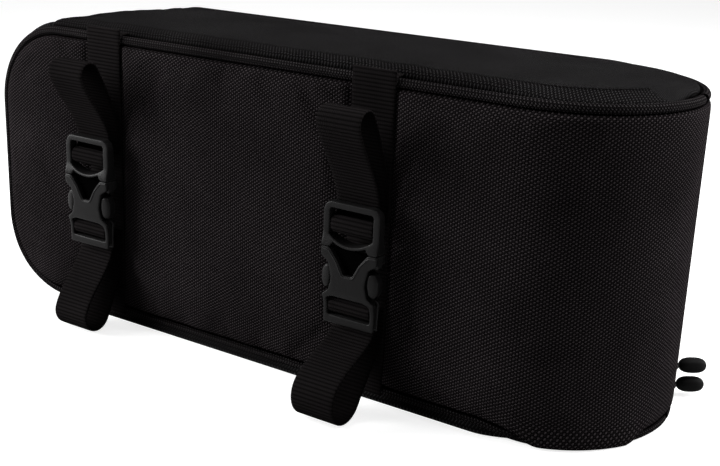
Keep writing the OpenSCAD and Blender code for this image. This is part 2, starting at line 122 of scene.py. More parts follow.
def joined(*parts):
    """Arrays and numbers as the coordinates of points, along a new last axis."""
    return np.stack(np.broadcast_arrays(*parts), -1)


def unit(v):
    return v / np.maximum(np.linalg.norm(v, axis=-1, keepdims=True), 1e-9)


def lengths(line):
    """How far along a line each of its points lies."""
    return np.concatenate([[0], np.cumsum(np.linalg.norm(np.diff(line, axis=0), axis=-1))])


# ---- Surfaces of the case ----

def facing(s):
    """The angle about the middle of the round end that the surface faces at s."""
    return np.clip((s - FRONT_L) / END_R, 0, PI) - PI / 2


def skin(s, z, out=0.0):
    """Points s round the case from the left end of its front, at height z, out from the surface."""
    a = facing(s)
    along = np.minimum(s, FRONT_L) - np.maximum(s - FRONT_L - END_L, 0)
    return joined(LEFT_X + along + (END_R + out) * np.cos(a), (END_R + out) * np.sin(a), z)


def skin_normal(s, z):
    return joined(np.cos(facing(s)), np.sin(facing(s)), 0 * z)


RIM_TOP = TIP_X - CORNER_X
RIM_ARC = PI / 2 * CORNER_R
RIM_SIDE = HEIGHT - 2 * CORNER_R
RIM_L = 2 * (RIM_TOP + RIM_ARC) + RIM_SIDE


def rim_turns(t):
    first = np.clip((t - RIM_TOP) / CORNER_R, 0, PI / 2)
    second = np.clip((t - RIM_TOP - RIM_ARC - RIM_SIDE) / CORNER_R, 0, PI / 2)
    return first, second


def rim(t, y, out=0.0):
    """Points t along the edge of the case, from the tip at the top, round the left end, to the bottom."""
    first, second = rim_turns(t)
    side = np.clip(t - RIM_TOP - RIM_ARC, 0, RIM_SIDE)
    bottom = np.maximum(t - RIM_TOP - 2 * RIM_ARC - RIM_SIDE, 0)
    x = TIP_X - np.minimum(t, RIM_TOP) - CORNER_R * np.sin(first)
    x = x + CORNER_R * (1 - np.cos(second)) + bottom
    z = HEIGHT - CORNER_R * (1 - np.cos(first)) - side - CORNER_R * np.sin(second)
    turn = first + second
    return joined(x - out * np.sin(turn), y, z + out * np.cos(turn))


def rim_normal(t, y):
    turn = sum(rim_turns(t))
    return joined(-np.sin(turn), 0 * y, np.cos(turn))


LIFT, LIFT_H = 3.3 * MM, 38 * MM
SPREAD = 1.4 * MM
ROLL_R, ROLL_E = 2.3 * MM, 6 * MM
FRONT_FADE = 25 * MM
END_FADE, END_FADE_L = 10 * MM, 30 * MM


def front_share(y):
    """1 along the front, falling to 0 towards the middle of the case's depth."""
    return ease((-y - FRONT_FADE) / FRONT_FADE)


def straight_share(x):
    """1 along the straight front, falling to 0 on the round end."""
    return 1 - ease((x - END_X + END_FADE) / END_FADE_L)


def settled(points):
    """The low front edge as it stands on its padding: raised and a little outward."""
    share = ease(1 - points[..., 2] / LIFT_H) * front_share(points[..., 1]) * straight_share(points[..., 0])
    moved = points.copy()
    moved[..., 1] -= SPREAD * share
    moved[..., 2] += LIFT * share
    return moved


def edge_angle(inset):
    return ZIP_ANGLE + (inset - ZIP_INSET) / END_R


def s_at_angle(a):
    return FRONT_L + END_R * (a + PI / 2)


def s_at_back(x):
    return FRONT_L + END_L + END_X - x


def line_of(*parts):
    """One run of points from several, without the points that repeat."""
    return np.concatenate([parts[0]] + [p[1:] for p in parts[1:]])


# ---- Meshes ----

def grid_faces(nu, nv, first=0, flip=False):
    i, j = np.meshgrid(np.arange(nu - 1), np.arange(nv - 1), indexing="ij")
    a = first + i * nv + j
    quads = np.stack([a, a + nv, a + nv + 1, a + 1], -1).reshape(-1, 4)
    return quads[:, ::-1] if flip else quads


def ring_faces(rings, sides, first=0, closed=False):
    """Quads of a tube of rings, each of so many sides. closed joins the last ring to the first."""
    count = rings if closed else rings - 1
    i, j = np.meshgrid(np.arange(count), np.arange(sides), indexing="ij")
    a = first + i * sides + j
    b = first + i * sides + (j + 1) % sides
    step = np.where(i == rings - 1, -(rings - 1) * sides, sides)
    return np.stack([a, b, b + step, a + step], -1).reshape(-1, 4)


def tube_faces(rings, sides, first=0):
    """The quads of a tube of rings, and its two ends."""
    ends = [first + np.arange(sides)[::-1], first + (rings - 1) * sides + np.arange(sides)]
    return list(ring_faces(rings, sides, first)) + ends


def new_object(name, verts, faces, uv=None, materials=(), face_material=None, seam=None):
    mesh = bpy.data.meshes.new(name)
    mesh.from_pydata([tuple(v) for v in np.asarray(verts)], [], [tuple(int(k) for k in f) for f in faces])
    if uv is not None:
        layer = mesh.uv_layers.new(name="UVMap")
        loops = np.zeros(len(mesh.loops), int)
        mesh.loops.foreach_get("vertex_index", loops)
        layer.data.foreach_set("uv", np.asarray(uv, np.float32)[loops].ravel())
    for m in materials:
        mesh.materials.append(m)
    if face_material is not None:
        mesh.polygons.foreach_set("material_index", np.asarray(face_material, np.int32))
    # The painted shade of each point: 0 for none, 1 for black.
    if seam is not None:
        mesh.attributes.new("seam", "FLOAT", "POINT").data.foreach_set("value", np.asarray(seam, np.float32))
    mesh.polygons.foreach_set("use_smooth", np.ones(len(mesh.polygons), bool))
    mesh.update()
    obj = bpy.data.objects.new(name, mesh)
    bpy.context.scene.collection.objects.link(obj)
    return obj


def fitted(piece, nodes, body):
    """Hides the nodes a piece stands for, and attaches the piece to its body."""
    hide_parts(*nodes)
    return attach(piece, body)


def border(nu, nv):
    """Indices round a grid, once, in order."""
    ids = np.arange(nu * nv).reshape(nu, nv)
    return np.concatenate([ids[:, 0], ids[-1, 1:], ids[-2::-1, -1], ids[0, -2:0:-1]])


def shell(name, outer, inner, uv, material, flip=False, seam=None):
    """A closed piece between two grids of points, joined all round their borders."""
    nu, nv = outer.shape[:2]
    n = nu * nv
    here = border(nu, nv)
    after = np.roll(here, -1)
    sides = np.stack([after, here, here + n, after + n], -1)
    faces = np.concatenate([grid_faces(nu, nv), grid_faces(nu, nv, n, True), sides])
    verts = np.concatenate([outer.reshape(-1, 3), inner.reshape(-1, 3)])
    both = np.concatenate([uv.reshape(-1, 2)] * 2)
    painted_shades = None if seam is None else np.concatenate([seam.ravel()] * 2)
    return new_object(name, verts, faces[:, ::-1] if flip else faces, both, [material], None, painted_shades)


def upsample(field, k):
    """A coarse grid of values read k times finer, along smooth curves."""
    for axis in (0, 1):
        f = np.moveaxis(field, axis, 0)
        n = len(f)
        at = np.arange((n - 1) * k + 1) / k
        i = np.minimum(at.astype(int), n - 2)
        t = (at - i).reshape((-1,) + (1,) * (f.ndim - 1))
        before, after = f[np.maximum(i - 1, 0)], f[np.minimum(i + 2, n - 1)]
        a, b = f[i], f[i + 1]
        m0, m1 = (b - before) / 2, (after - a) / 2
        value = (2 * t**3 - 3 * t**2 + 1) * a + (t**3 - 2 * t**2 + t) * m0
        value = value + (3 * t**2 - 2 * t**3) * b + (t**3 - t**2) * m1
        field = np.moveaxis(value, 0, axis)
    return field


# ---- Materials ----

class Shader:
    """A Principled material, with short calls for the nodes that feed it."""

    def __init__(self, name):
        self.material = bpy.data.materials.new(name)
        self.material.use_nodes = True
        self.tree = self.material.node_tree
        self.bsdf = self.tree.nodes["Principled BSDF"]

    def node(self, kind, **settings):
        n = self.tree.nodes.new(kind)
        for key, value in settings.items():
            setattr(n, key, value)
        return n

    def put(self, socket, value):
        if isinstance(value, bpy.types.NodeSocket):
            self.tree.links.new(value, socket)
        elif isinstance(value, (tuple, list)) and len(value) == 3 and socket.type == "RGBA":
            socket.default_value = (*value, 1)
        else:
            socket.default_value = value

    def math(self, op, a, b=None, c=None):
        n = self.node("ShaderNodeMath", operation=op)
        for k, value in enumerate((a, b, c)):
            if value is not None:
                self.put(n.inputs[k], value)
        return n.outputs[0]

    def mix(self, f, a, b):
        """Colour a where f is 0, b where it is 1."""
        n = self.node("ShaderNodeMix", data_type="RGBA")
        self.put(n.inputs[0], f)
        self.put(n.inputs[6], a)
        self.put(n.inputs[7], b)
        return n.outputs[2]

    def lerp(self, f, a, b):
        n = self.node("ShaderNodeMix", data_type="FLOAT")
        self.put(n.inputs[0], f)
        self.put(n.inputs[2], a)
        self.put(n.inputs[3], b)
        return n.outputs[0]

    def ramp(self, f, a, b, low=0.0, high=1.0):
        """f from low to high, read as a to b, and held at the ends."""
        n = self.node("ShaderNodeMapRange")
        for k, value in enumerate((f, low, high, a, b)):
            self.put(n.inputs[k], value)
        return n.outputs[0]

    def uv(self):
        n = self.node("ShaderNodeUVMap", uv_map="UVMap")
        s = self.node("ShaderNodeSeparateXYZ")
        self.tree.links.new(n.outputs[0], s.inputs[0])
        return s.outputs[0], s.outputs[1]

    def noise(self, scale, detail=3.0, stretch=(1, 1, 1)):
        where = self.node("ShaderNodeTexCoord")
        mapping = self.node("ShaderNodeMapping")
        mapping.inputs["Scale"].default_value = stretch
        n = self.node("ShaderNodeTexNoise")
        self.tree.links.new(where.outputs["Object"], mapping.inputs[0])
        self.tree.links.new(mapping.outputs[0], n.inputs["Vector"])
        for key, value in (("Scale", scale), ("Detail", detail), ("Roughness", 0.55)):
            n.inputs[key].default_value = value
        return n.outputs[0]

    def bump(self, height, distance):
        n = self.node("ShaderNodeBump")
        n.inputs["Strength"].default_value = 1.0
        n.inputs["Distance"].default_value = distance
        self.put(n.inputs["Height"], height)
        return n.outputs[0]

    def with_painted_shade(self, colour):
        """The colour, going to black where a piece's points are marked with painted shade."""
        seam = self.node("ShaderNodeAttribute", attribute_name="seam").outputs["Fac"]
        return self.mix(seam, colour, SHADE_PAINT_BLACK)

    def finish(self, **inputs):
        for key, value in inputs.items():
            self.put(self.bsdf.inputs[key.replace("_", " ")], value)
        return self.material


def weave_heights(m, u, v, cell_u, cell_v, lean=0.5):
    """Height of a basket weave of yarn pairs, and 1 where the yarns along u lie on top."""
    cu = m.math("DIVIDE", u, cell_u)
    cv = m.math("DIVIDE", v, cell_v)
    whole = m.math("ADD", m.math("FLOOR", cu), m.math("FLOOR", cv))
    weft = m.math("PINGPONG", whole, 1.0)
    fu = m.math("SUBTRACT", m.math("FRACT", cu), 0.5)
    fv = m.math("SUBTRACT", m.math("FRACT", cv), 0.5)
    leaned = m.math("SUBTRACT", fu, m.math("MULTIPLY", fv, lean))
    across_u = m.math("MAXIMUM", m.math("COSINE", m.math("MULTIPLY", leaned, PI)), 0.0)
    across_v = m.math("MAXIMUM", m.math("COSINE", m.math("MULTIPLY", fv, PI)), 0.0)
    weft_yarns = m.math("ABSOLUTE", m.math("SINE", m.math("MULTIPLY", fv, 2 * PI)))
    warp_yarns = m.math("ABSOLUTE", m.math("SINE", m.math("MULTIPLY", fu, 2 * PI)))
    bump = m.math("MULTIPLY", across_u, m.math("POWER", across_v, 0.7))
    weft_h = m.math("MULTIPLY", bump, m.ramp(weft_yarns, 0.85, 1.0))
    warp_h = m.math("MULTIPLY", bump, m.ramp(warp_yarns, 0.4, 0.6))
    return m.lerp(weft, warp_h, weft_h), weft


def fabric(name, cell_u, cell_v, dark, light, rough=0.55, depth=0.3 * MM, lean=0.35, turn=0.0):
    """Coarse two-by-two nylon: u and v are metres along the yarns."""
    m = Shader(name)
    u, v = m.uv()
    if turn:
        c, s = math.cos(turn), math.sin(turn)
        u, v = (m.math("ADD", m.math("MULTIPLY", u, c), m.math("MULTIPLY", v, s)),
                m.math("SUBTRACT", m.math("MULTIPLY", v, c), m.math("MULTIPLY", u, s)))
    wobble = m.math("MULTIPLY", m.math("SUBTRACT", m.noise(60, 1), 0.5), 0.35 * MM)
    height, weft = weave_heights(m, m.math("ADD", u, wobble), m.math("ADD", v, wobble), cell_u, cell_v, lean)
    patches = m.noise(22, 4)
    worn = m.noise(7, 3)
    # Painted highlights on the yarn tops and painted shade between them, in place of specular sheen; the
    # yarns along u are painted lighter, lean slants each yarn's dome and so its painted highlight, and random
    # patches vary the tone.
    lit = m.math("MULTIPLY", m.ramp(height, 0.06, 1.0, 0.12, 0.95), m.ramp(weft, 0.35, 1.0))
    lit = m.math("MULTIPLY", lit, m.ramp(patches, 0.72, 1.2, 0.3, 0.7))
    fibres = m.noise(2600, 2, stretch=(1, 1, 0.3))
    relief = m.math("ADD", height, m.math("MULTIPLY", fibres, 0.22))
    return m.finish(
        Base_Color=m.with_painted_shade(m.mix(lit, dark, light)),
        Roughness=m.ramp(worn, rough - 0.05, rough + 0.07, 0.3, 0.7),
        Specular_IOR_Level=0.0,
        Normal=m.bump(relief, depth),
    )


def webbing_material():
    """Black webbing: u metres along the strap, v across. Ribs cross it, warp ends run along it."""
    m = Shader("webbing")
    u, v = m.uv()
    rib = m.math("ABSOLUTE", m.math("SINE", m.math("MULTIPLY", u, PI / RIB_PITCH)))
    ends = m.math("ABSOLUTE", m.math("SINE", m.math("MULTIPLY", v, PI / WARP_PITCH)))
    slant = m.math("ADD", m.math("MULTIPLY", u, 0.9), v)
    slant = m.math("SINE", m.math("MULTIPLY", slant, 2 * PI / SLANT_PITCH))
    relief = m.math("MULTIPLY", m.math("POWER", rib, 0.6), m.ramp(ends, 0.75, 1.0))
    relief = m.math("ADD", relief, m.math("MULTIPLY", slant, 0.06))
    relief = m.math("ADD", relief, m.math("MULTIPLY", m.noise(2400, 2), 0.15))
    # Painted highlights on the rib tops and painted shade in the gaps between ribs and warp ends; random
    # patches vary the tone.
    lit = m.math("MULTIPLY", m.ramp(rib, 0.3, 1.0, 0.1, 0.95), m.ramp(ends, 0.6, 1.0))
    lit = m.math("MULTIPLY", lit, m.ramp(m.noise(25, 3), 0.75, 1.2, 0.3, 0.7))
    return m.finish(
        Base_Color=m.with_painted_shade(m.mix(lit, WEB_DARK, WEB_LIGHT)),
        Roughness=0.6,
        Specular_IOR_Level=0.0,
        Normal=m.bump(relief, 0.22 * MM),
    )


def plastic_material(name, colour, rough=0.36, level=0.42, grain=0.012, edge_highlight=0.01):
    """Moulded satin plastic, with a fine grain, and a painted highlight that lightens its sharp edges."""
    m = Shader(name)
    grains = m.noise(1800, 3)
    cloud = m.noise(35, 3)
    # Pointiness finds the sharp edges, which are given a painted highlight.
    edge = m.node("ShaderNodeNewGeometry").outputs["Pointiness"]
    edge_highlight_mask = m.ramp(edge, 0.0, 1.0, 0.505, 0.56)
    edge_highlight_colour = tuple(min(1, c * (1 + 140 * edge_highlight) + edge_highlight) for c in colour)
    shade = m.mix(m.ramp(cloud, 0.0, 0.35, 0.3, 0.7), colour, tuple(c * 1.35 for c in colour))
    return m.finish(
        Base_Color=m.mix(edge_highlight_mask, shade, edge_highlight_colour),
        Roughness=m.ramp(grains, rough - 0.05, rough + 0.08, 0.3, 0.7),
        Specular_IOR_Level=level,
        Normal=m.bump(grains, grain * MM * 4),
    )


# Black for painted shade: in seam grooves, along stitches, at the piping's ends, behind the buckle bars and
# inside the strap loops.
SHADE_PAINT_BLACK = (0.0004, 0.0003, 0.0003)
RIB_PITCH, WARP_PITCH, SLANT_PITCH = 2.0 * MM, 1.05 * MM, 0.7 * MM
WEAVE_WIDE, WEAVE_NARROW = 2.85 / 2 * MM, 1.93 / 2 * MM
WIDE, LENGTHWISE = (WEAVE_WIDE, WEAVE_NARROW), (WEAVE_NARROW, WEAVE_WIDE)

# Each *_DARK colour is the painted shade between yarns or ribs, each *_LIGHT colour the painted highlight on
# their tops.
WEB_DARK, WEB_LIGHT = (0.0009, 0.0008, 0.0008), (0.0088, 0.0078, 0.0080)
CLOTH_DARK = (0.0011, 0.0009, 0.0010)
CLOTH_LIGHT = (0.041, 0.0355, 0.0375)
EDGE_LIGHT = (0.037, 0.0365, 0.037)
# The top's cloth is painted about a fifth darker than the ends': painted shade on the top.
TOP_LIGHT = (0.029, 0.0285, 0.029)
STRIP_LIGHT = (0.024, 0.023, 0.0235)
WELT_LIGHT = (0.034, 0.031, 0.032)
LINING_DARK, LINING_LIGHT = (0.012, 0.012, 0.012), (0.03, 0.03, 0.031)
TAPE_DARK, TAPE_LIGHT = (0.003, 0.003, 0.003), (0.012, 0.0115, 0.0115)

front_cloth = fabric("front_cloth", *WIDE, CLOTH_DARK, CLOTH_LIGHT)
top_cloth = fabric("top_cloth", 0.62 * MM, 0.5 * MM, CLOTH_DARK, TOP_LIGHT, lean=0.1, depth=0.12 * MM)
strip_cloth = fabric("strip_cloth", *LENGTHWISE, CLOTH_DARK, STRIP_LIGHT, lean=0.2)
edge_cloth = fabric("edge_cloth", *LENGTHWISE, CLOTH_DARK, EDGE_LIGHT, lean=0.2)
welt_cloth = fabric("welt_cloth", *WIDE, CLOTH_DARK, WELT_LIGHT, turn=0.6)
lining_cloth = fabric("lining_cloth", 0.9 * MM, 0.9 * MM, LINING_DARK, LINING_LIGHT, depth=0.1 * MM)
tape_cloth = fabric("tape_cloth", 0.7 * MM, 0.5 * MM, TAPE_DARK, TAPE_LIGHT, depth=0.08 * MM)
web_cloth = webbing_material()
thread = plastic_material("thread", (0.0035, 0.0033, 0.0033), rough=0.7, level=0.0, edge_highlight=0.0)
coil_plastic = plastic_material("coil_plastic", (0.012, 0.0115, 0.0115), rough=0.4)
buckle_plastic = plastic_material("buckle_plastic", (0.0042, 0.0040, 0.0041), level=0.05, edge_highlight=0.004)
# Flat black for painted shadow inside the sockets, and on the parts seen only there.
buckle_shadow_black = plastic_material("buckle_shadow_black", (0.0006, 0.0006, 0.0006), rough=0.8, level=0.0, edge_highlight=0.0)
pull_rubber = plastic_material("pull_rubber", (0.0040, 0.0040, 0.0040), rough=0.6, level=0.015, edge_highlight=0.003)
slider_metal = plastic_material("slider_metal", (0.008, 0.008, 0.0083), rough=0.32, level=0.12, grain=0.006)


# ---- Padded panels ----

PUFF = {"front": 2.6 * MM, "top": 3.6 * MM, "left": 2.6 * MM, "bottom": 0.0, "lid": 3.0 * MM}
SHOULDER = 8 * MM
SEAM_DROP = 2.0 * MM
BELT_MARGIN, BELT_DRAW = 1.5 * MM, 16 * MM
SEAM_W = 2.2 * MM
# Painted shade in a seam's groove: how wide it fades out, and how far in it stays full, low on the front.
SEAM_SHADE_W, SHADE_FROM_LOW = 0.9 * MM, 2.7 * MM
# A row of stitches sinks in, with painted shade along it.
SEWN_DIP, SEWN_SHADE = 0.5 * MM, 0.75
FOLD_SHARE = 0.6
ROW_DRAW = 0.7
PRESSURE, SIM_FRAMES = 4.0, 20


def shoulder(e, width=SHOULDER):
    """0 at a seam, rising like a quarter ellipse to 1 at the given distance from it."""
    t = np.clip(e / width, 0, 1)
    return np.sqrt(1 - (1 - t) ** 2)


def inflate(points, normal, held, slack):
    """Cloth simulation of a sheet that is sewn down where held is 1: where each of its points ends."""
    nu, nv = points.shape[:2]
    along_u, along_v = points[1:, :-1] - points[:-1, :-1], points[:-1, 1:] - points[:-1, :-1]
    inward = (np.cross(along_u, along_v) * normal[:-1, :-1]).sum() < 0
    obj = new_object("sim", points.reshape(-1, 3), grid_faces(nu, nv, flip=bool(inward)))
    group = obj.vertex_groups.new(name="sewn")
    for k in np.flatnonzero(held.ravel() > 0):
        group.add([int(k)], float(held.ravel()[k]), "REPLACE")
    cloth = obj.modifiers.new("Cloth", "CLOTH")
    settings = dict(
        vertex_group_mass="sewn", quality=6, mass=0.15, tension_stiffness=40, compression_stiffness=40,
        shear_stiffness=8, bending_stiffness=0.8, shrink_min=-slack, use_pressure=True,
        uniform_pressure_force=PRESSURE,
    )
    for key, value in settings.items():
        setattr(cloth.settings, key, value)
    cloth.settings.effector_weights.gravity = 0
    cloth.collision_settings.use_collision = False
    scene = bpy.context.scene
    for f in range(1, SIM_FRAMES + 1):
        scene.frame_set(f)
    final = obj.evaluated_get(bpy.context.evaluated_depsgraph_get())
    co = np.zeros(len(final.data.vertices) * 3)
    final.data.vertices.foreach_get("co", co)
    scene.frame_set(1)
    bpy.data.objects.remove(obj)
    return co.reshape(points.shape)


def near_belts(x):
    """1 under a belt, falling to 0 beside it, as the panel is drawn in along each belt."""
    gap = np.min([np.abs(x - bx) for bx in STRAP_X.values()], axis=0) - STRAP_W / 2 - BELT_MARGIN
    return 1 - shoulder(np.maximum(gap, 0), BELT_DRAW)


class Panel:
    """A padded panel as a grid: its columns and rows, its points and normals, and how it is sewn. Painted
    shade darkens the groove of its seam fully up to a given distance in, and sewn is 1 along a row of
    stitches."""

    def __init__(self, place, normal, u, v, edge=None, belts=None, seam_from=0.0):
        self.place = place
        self.u, self.v = u, v
        self.edge = np.zeros(u.shape) if edge is None else np.maximum(edge, 0)
        self.seam_from, self.sewn = seam_from, 0.0
        self.base = place(u, v, 0.0)
        self.normal = normal(u, v)
        self.belts = np.zeros(u.shape) if belts is None else belts


def wrinkles(coarse, k, slack):
    """Heights of the simulated folds over a panel, read k times finer than its coarse grid."""
    held = ((coarse.edge < 0.5 * MM) | (coarse.belts > 0.98)).astype(float)
    moved = inflate(coarse.base, coarse.normal, held, slack)
    return upsample(((moved - coarse.base) * coarse.normal).sum(-1), k)


def spread(columns, row):
    """Grids of the place of each column, and of each row's share in it."""
    return np.repeat(columns[:, None], len(row), 1), row[None]


def rows(count):
    """Even steps from -1 to 1, drawn closer together towards the two ends."""
    even_rows = np.linspace(-1, 1, count + 1)
    return (1 - ROW_DRAW) * even_rows + ROW_DRAW * np.sin(PI / 2 * even_rows)


def front_columns(k):
    """s of the front panel's columns, k for each coarse one: closer together at the round corners."""
    inner = CORNER_R - CHANNEL
    turn = np.linspace(PI / 2, 0, 14 * k + 1)
    corner = CORNER_R - inner * np.sin(turn)
    last = s_at_angle(edge_angle(CHANNEL))
    rest = np.linspace(CORNER_R, last, 98 * k + 1)[1:]
    return np.concatenate([corner, rest])


def front_panel(k):
    s = front_columns(k)
    inner = CORNER_R - CHANNEL
    dx = np.clip(CORNER_R - s, 0, inner)
    half = HEIGHT / 2 - CORNER_R + np.sqrt(np.maximum(inner**2 - dx**2, 0))
    u, row = spread(s, rows(36 * k))
    v = HEIGHT / 2 + half[:, None] * row
    above = np.abs(v - HEIGHT / 2)
    round_edge = inner - np.hypot(np.maximum(CORNER_R - u, 0), np.maximum(above - HEIGHT / 2 + CORNER_R, 0))
    edge = np.minimum(round_edge, np.minimum(u - CHANNEL, HEIGHT / 2 - CHANNEL - above))
    edge = np.minimum(edge, u[-1, 0] - u)
    # Low on the front the painted shade stays full further in from the edge, as a dark line above the piping.
    seam_from = SHADE_FROM_LOW * ease((HEIGHT / 2 - v) / (50 * MM))
    return Panel(skin, skin_normal, u, v, edge, near_belts(LEFT_X + u), seam_from)


def rim_panel(k, t0, t1, tip=False):
    """Part of the top, left end and bottom, between the piping of the two faces."""
    half_w = END_R - CHANNEL
    count = max(int(round((t1 - t0) / (4.6 * MM))), 6)
    if tip:
        turn = np.linspace(math.radians(87), 0, 16 * k + 1)
        start = END_R - half_w * np.sin(turn)
        rest = np.linspace(END_R, t1, (count - 14) * k + 1)[1:]
        t = np.concatenate([start, rest])
    else:
        t = np.linspace(t0, t1, count * k + 1)
    half = np.where(t < END_R, np.sqrt(np.maximum(half_w**2 - (END_R - t) ** 2, 0)), half_w)
    u, row = spread(t, rows(26 * k))
    v = half[:, None] * row
    edge = half_w - np.hypot(np.maximum(END_R - u, 0), v)
    edge = np.minimum(edge, u[-1, 0] - u)
    if not tip:
        edge = np.minimum(edge, u - u[0, 0])
    return Panel(rim, rim_normal, u, v, edge)


def under_roll(points, panel):
    """The bottom panel's front edge, rolled out and up to the piping."""
    flat = ROLL_E + CHANNEL - SPREAD + ROLL_R
    run = (1 - np.clip(panel.edge / ROLL_E, 0, 1)) * (flat + ROLL_R * math.radians(125))
    turn = np.maximum(run - flat, 0) / ROLL_R
    reach = np.minimum(run, flat) + ROLL_R * np.sin(turn) - np.clip(ROLL_E - panel.edge, 0, ROLL_E)
    x, y = points[..., 0], points[..., 1]
    across = unit(joined(np.maximum(x - END_X, 0), y))
    rolled = joined(x + reach * across[..., 0], y + reach * across[..., 1], ROLL_R * (1 - np.cos(turn)))
    share = front_share(y) * ease((x - SEAM_X - 4 * MM) / (12 * MM))
    share = (share * straight_share(x) * (panel.edge < ROLL_E))[..., None]
    return points + share * (rolled - points)


def evenly(u, v):
    """The same fullness, and folds of the same depth, all over a panel."""
    return 1.0, FOLD_SHARE


def padded_piece(name, make, puff, slack, cloth, nodes, body, most=2.2 * MM,
                 flip=False, depth=FOAM_IN, fullness=evenly, merge=None):
    """A padded panel: seams drawn in, shoulders round them, and simulated folds between, none higher than
    most. fullness gives the shares of its puff and its folds, and merge tells where its edge runs over the
    piping beside it."""
    k = 3
    fine = make(k)
    fold = wrinkles(make(1), k, slack) if puff > 0 else np.zeros(fine.u.shape)
    puff_share, fold_share = fullness(fine.u, fine.v)
    swell = shoulder(fine.edge) * (1 - fine.belts)
    fold = most * np.tanh(np.maximum(fold, 0) * fold_share / most) * swell
    out = -SEAM_DROP * (1 - shoulder(fine.edge, SEAM_W)) + puff * puff_share * swell + fold
    out = out - SEWN_DIP * fine.sewn
    # Painted shade in the seams' groove, on the padded panels only.
    seam = (1 - ease((fine.edge - fine.seam_from) / SEAM_SHADE_W)) * (puff > 0)
    u, v = fine.u, fine.v
    if merge is not None:
        share, u, v, width = merge(u, v, 1 - ease(fine.edge / MERGE_EDGE))
        rise = puff * puff_share * ease((fine.edge + OVER_PIPING) / width) + 0.1 * MM + fold
        out = out + share * (rise - out)
        seam = seam * (1 - share)
    outer = fine.place(u, v, out)
    if body == "case":
        outer = under_roll(outer, fine) if puff == 0 else settled(outer)
    outer[..., 2] = np.maximum(outer[..., 2], 0)
    piece = shell(name, outer, fine.place(fine.u, fine.v, -depth), joined(fine.u, fine.v), cloth, flip,
                  np.maximum(seam, SEWN_SHADE * fine.sewn))
    return fitted(piece, nodes, body)


OVER_PIPING = CHANNEL / 2
MERGE_EDGE = 9 * MM
MERGE_FROM, MERGE_L = 115 * MM, 50 * MM


def about_tip(t, y):
    """The angle of a place on the top about the middle of the round end."""
    return np.arctan2(y, np.maximum(END_R - t, 1e-6))


def into_piping(t, y):
    """1 where the top runs smoothly into the front piping: near the round end, but for its very tip."""
    turn = about_tip(t, y)
    along = np.where(t < END_R, END_X + END_R * (turn + PI / 2), TIP_X - t)
    front = np.where((y < 0) | (t < END_R), ease((along - MERGE_FROM) / MERGE_L), 0)
    return front * (1 - ease((turn + math.radians(24)) / math.radians(20)))


def over_top(t, y, near):
    share = into_piping(t, y)
    over = (OVER_PIPING * share * near)[..., None] * unit(joined(np.minimum(t - END_R, 0), y))
    return share, t + over[..., 0], y + over[..., 1], 17 * MM


def over_bottom(s, z, near):
    """The front runs straight down over the piping on the round end, but for its last stretch."""
    share = ease((s - FRONT_L - 5 * MM) / (20 * MM))
    share = share * (1 - ease((s - s_at_angle(math.radians(-30))) / (14 * MM))) * (z < HEIGHT / 2)
    return share, s, z - share * near * (CHANNEL - 0.4 * MM), 6 * MM


def front_fullness(s, z):
    """Tight on the round end but for its foot, and without folds there."""
    end = ease((s - FRONT_L - 15 * MM) / (50 * MM))
    foot = ease((s - FRONT_L) / (20 * MM)) * ease(1 - z / (40 * MM))
    foot = foot * (1 - ease((s - s_at_angle(-0.4)) / (25 * MM)))
    left = ease(s / (40 * MM))
    return 1 - 0.75 * end * (1 - foot) + 0.3 * foot, FOLD_SHARE * (1 - end) * left


def top_fullness(t, y):
    """Lower towards the back edge, where the piping stands proud of it."""
    return 1 - 0.65 * ease((y + 15 * MM) / (65 * MM)), FOLD_SHARE


STRIP_W = 10 * MM
STITCH_W = 1.3 * MM
SEAM_T = RIM_TOP + CORNER_R * math.asin((CORNER_X - SEAM_X) / CORNER_R)


def on_strip(t, y):
    """Whether a place on the top is along its front edge, up to where the strip ends on the round end."""
    return (y < 0) & (about_tip(t, y) < math.radians(-25))


def top_panel(k):
    panel = rim_panel(k, CHANNEL, SEAM_T, True)
    panel.sewn = (1 - ease(np.abs(panel.edge - STRIP_W) / STITCH_W)) * on_strip(panel.u, panel.v)
    return panel


def left_panel(k):
    return rim_panel(k, SEAM_T, RIM_L - SEAM_T)


def bottom_panel(k):
    panel = rim_panel(k, CHANNEL, SEAM_T, True)
    return Panel(lambda t, y, out=0.0: rim(RIM_L - t, y, out), lambda t, y: rim_normal(RIM_L - t, y),
                 panel.u, panel.v, panel.edge)


def edge_strip(pad):
    """The coarse strip along the front of the top, between its seam and its row of stitches."""
    panel = top_panel(3)
    strip = (panel.edge < STRIP_W) & on_strip(panel.u, panel.v)
    kinds = np.zeros(len(pad.data.polygons), np.int32)
    outer = strip[:-1, :-1].ravel()
    kinds[:len(outer)] = outer
    pad.data.materials.append(strip_cloth)
    pad.data.polygons.foreach_set("material_index", kinds)


padded_piece("front_pad", front_panel, PUFF["front"], 0.02, front_cloth, ["wrap_panel", "wrap_foam"],
             "case", fullness=front_fullness, merge=over_bottom)
top_pad = padded_piece("top_pad", top_panel, PUFF["top"], 0.012, top_cloth, ["top_panel", "top_foam"],
                       "case", most=1.1 * MM, fullness=top_fullness, merge=over_top)
edge_strip(top_pad)
padded_piece("left_pad", left_panel, PUFF["left"], 0.01, edge_cloth, ["left_panel", "left_foam"], "case",
             most=1.1 * MM)
padded_piece("bottom_pad", bottom_panel, PUFF["bottom"], 0.0, edge_cloth,
             ["bottom_panel", "bottom_foam"], "case", flip=True)


# ---- Lid ----

CORNER_A = edge_angle(ZIP_INSET + ZIP_CORNER)
CORNER_REACH = END_R - CHANNEL / 2


def window_r(i):
    return CORNER_REACH * math.sin(CORNER_A - edge_angle(i))


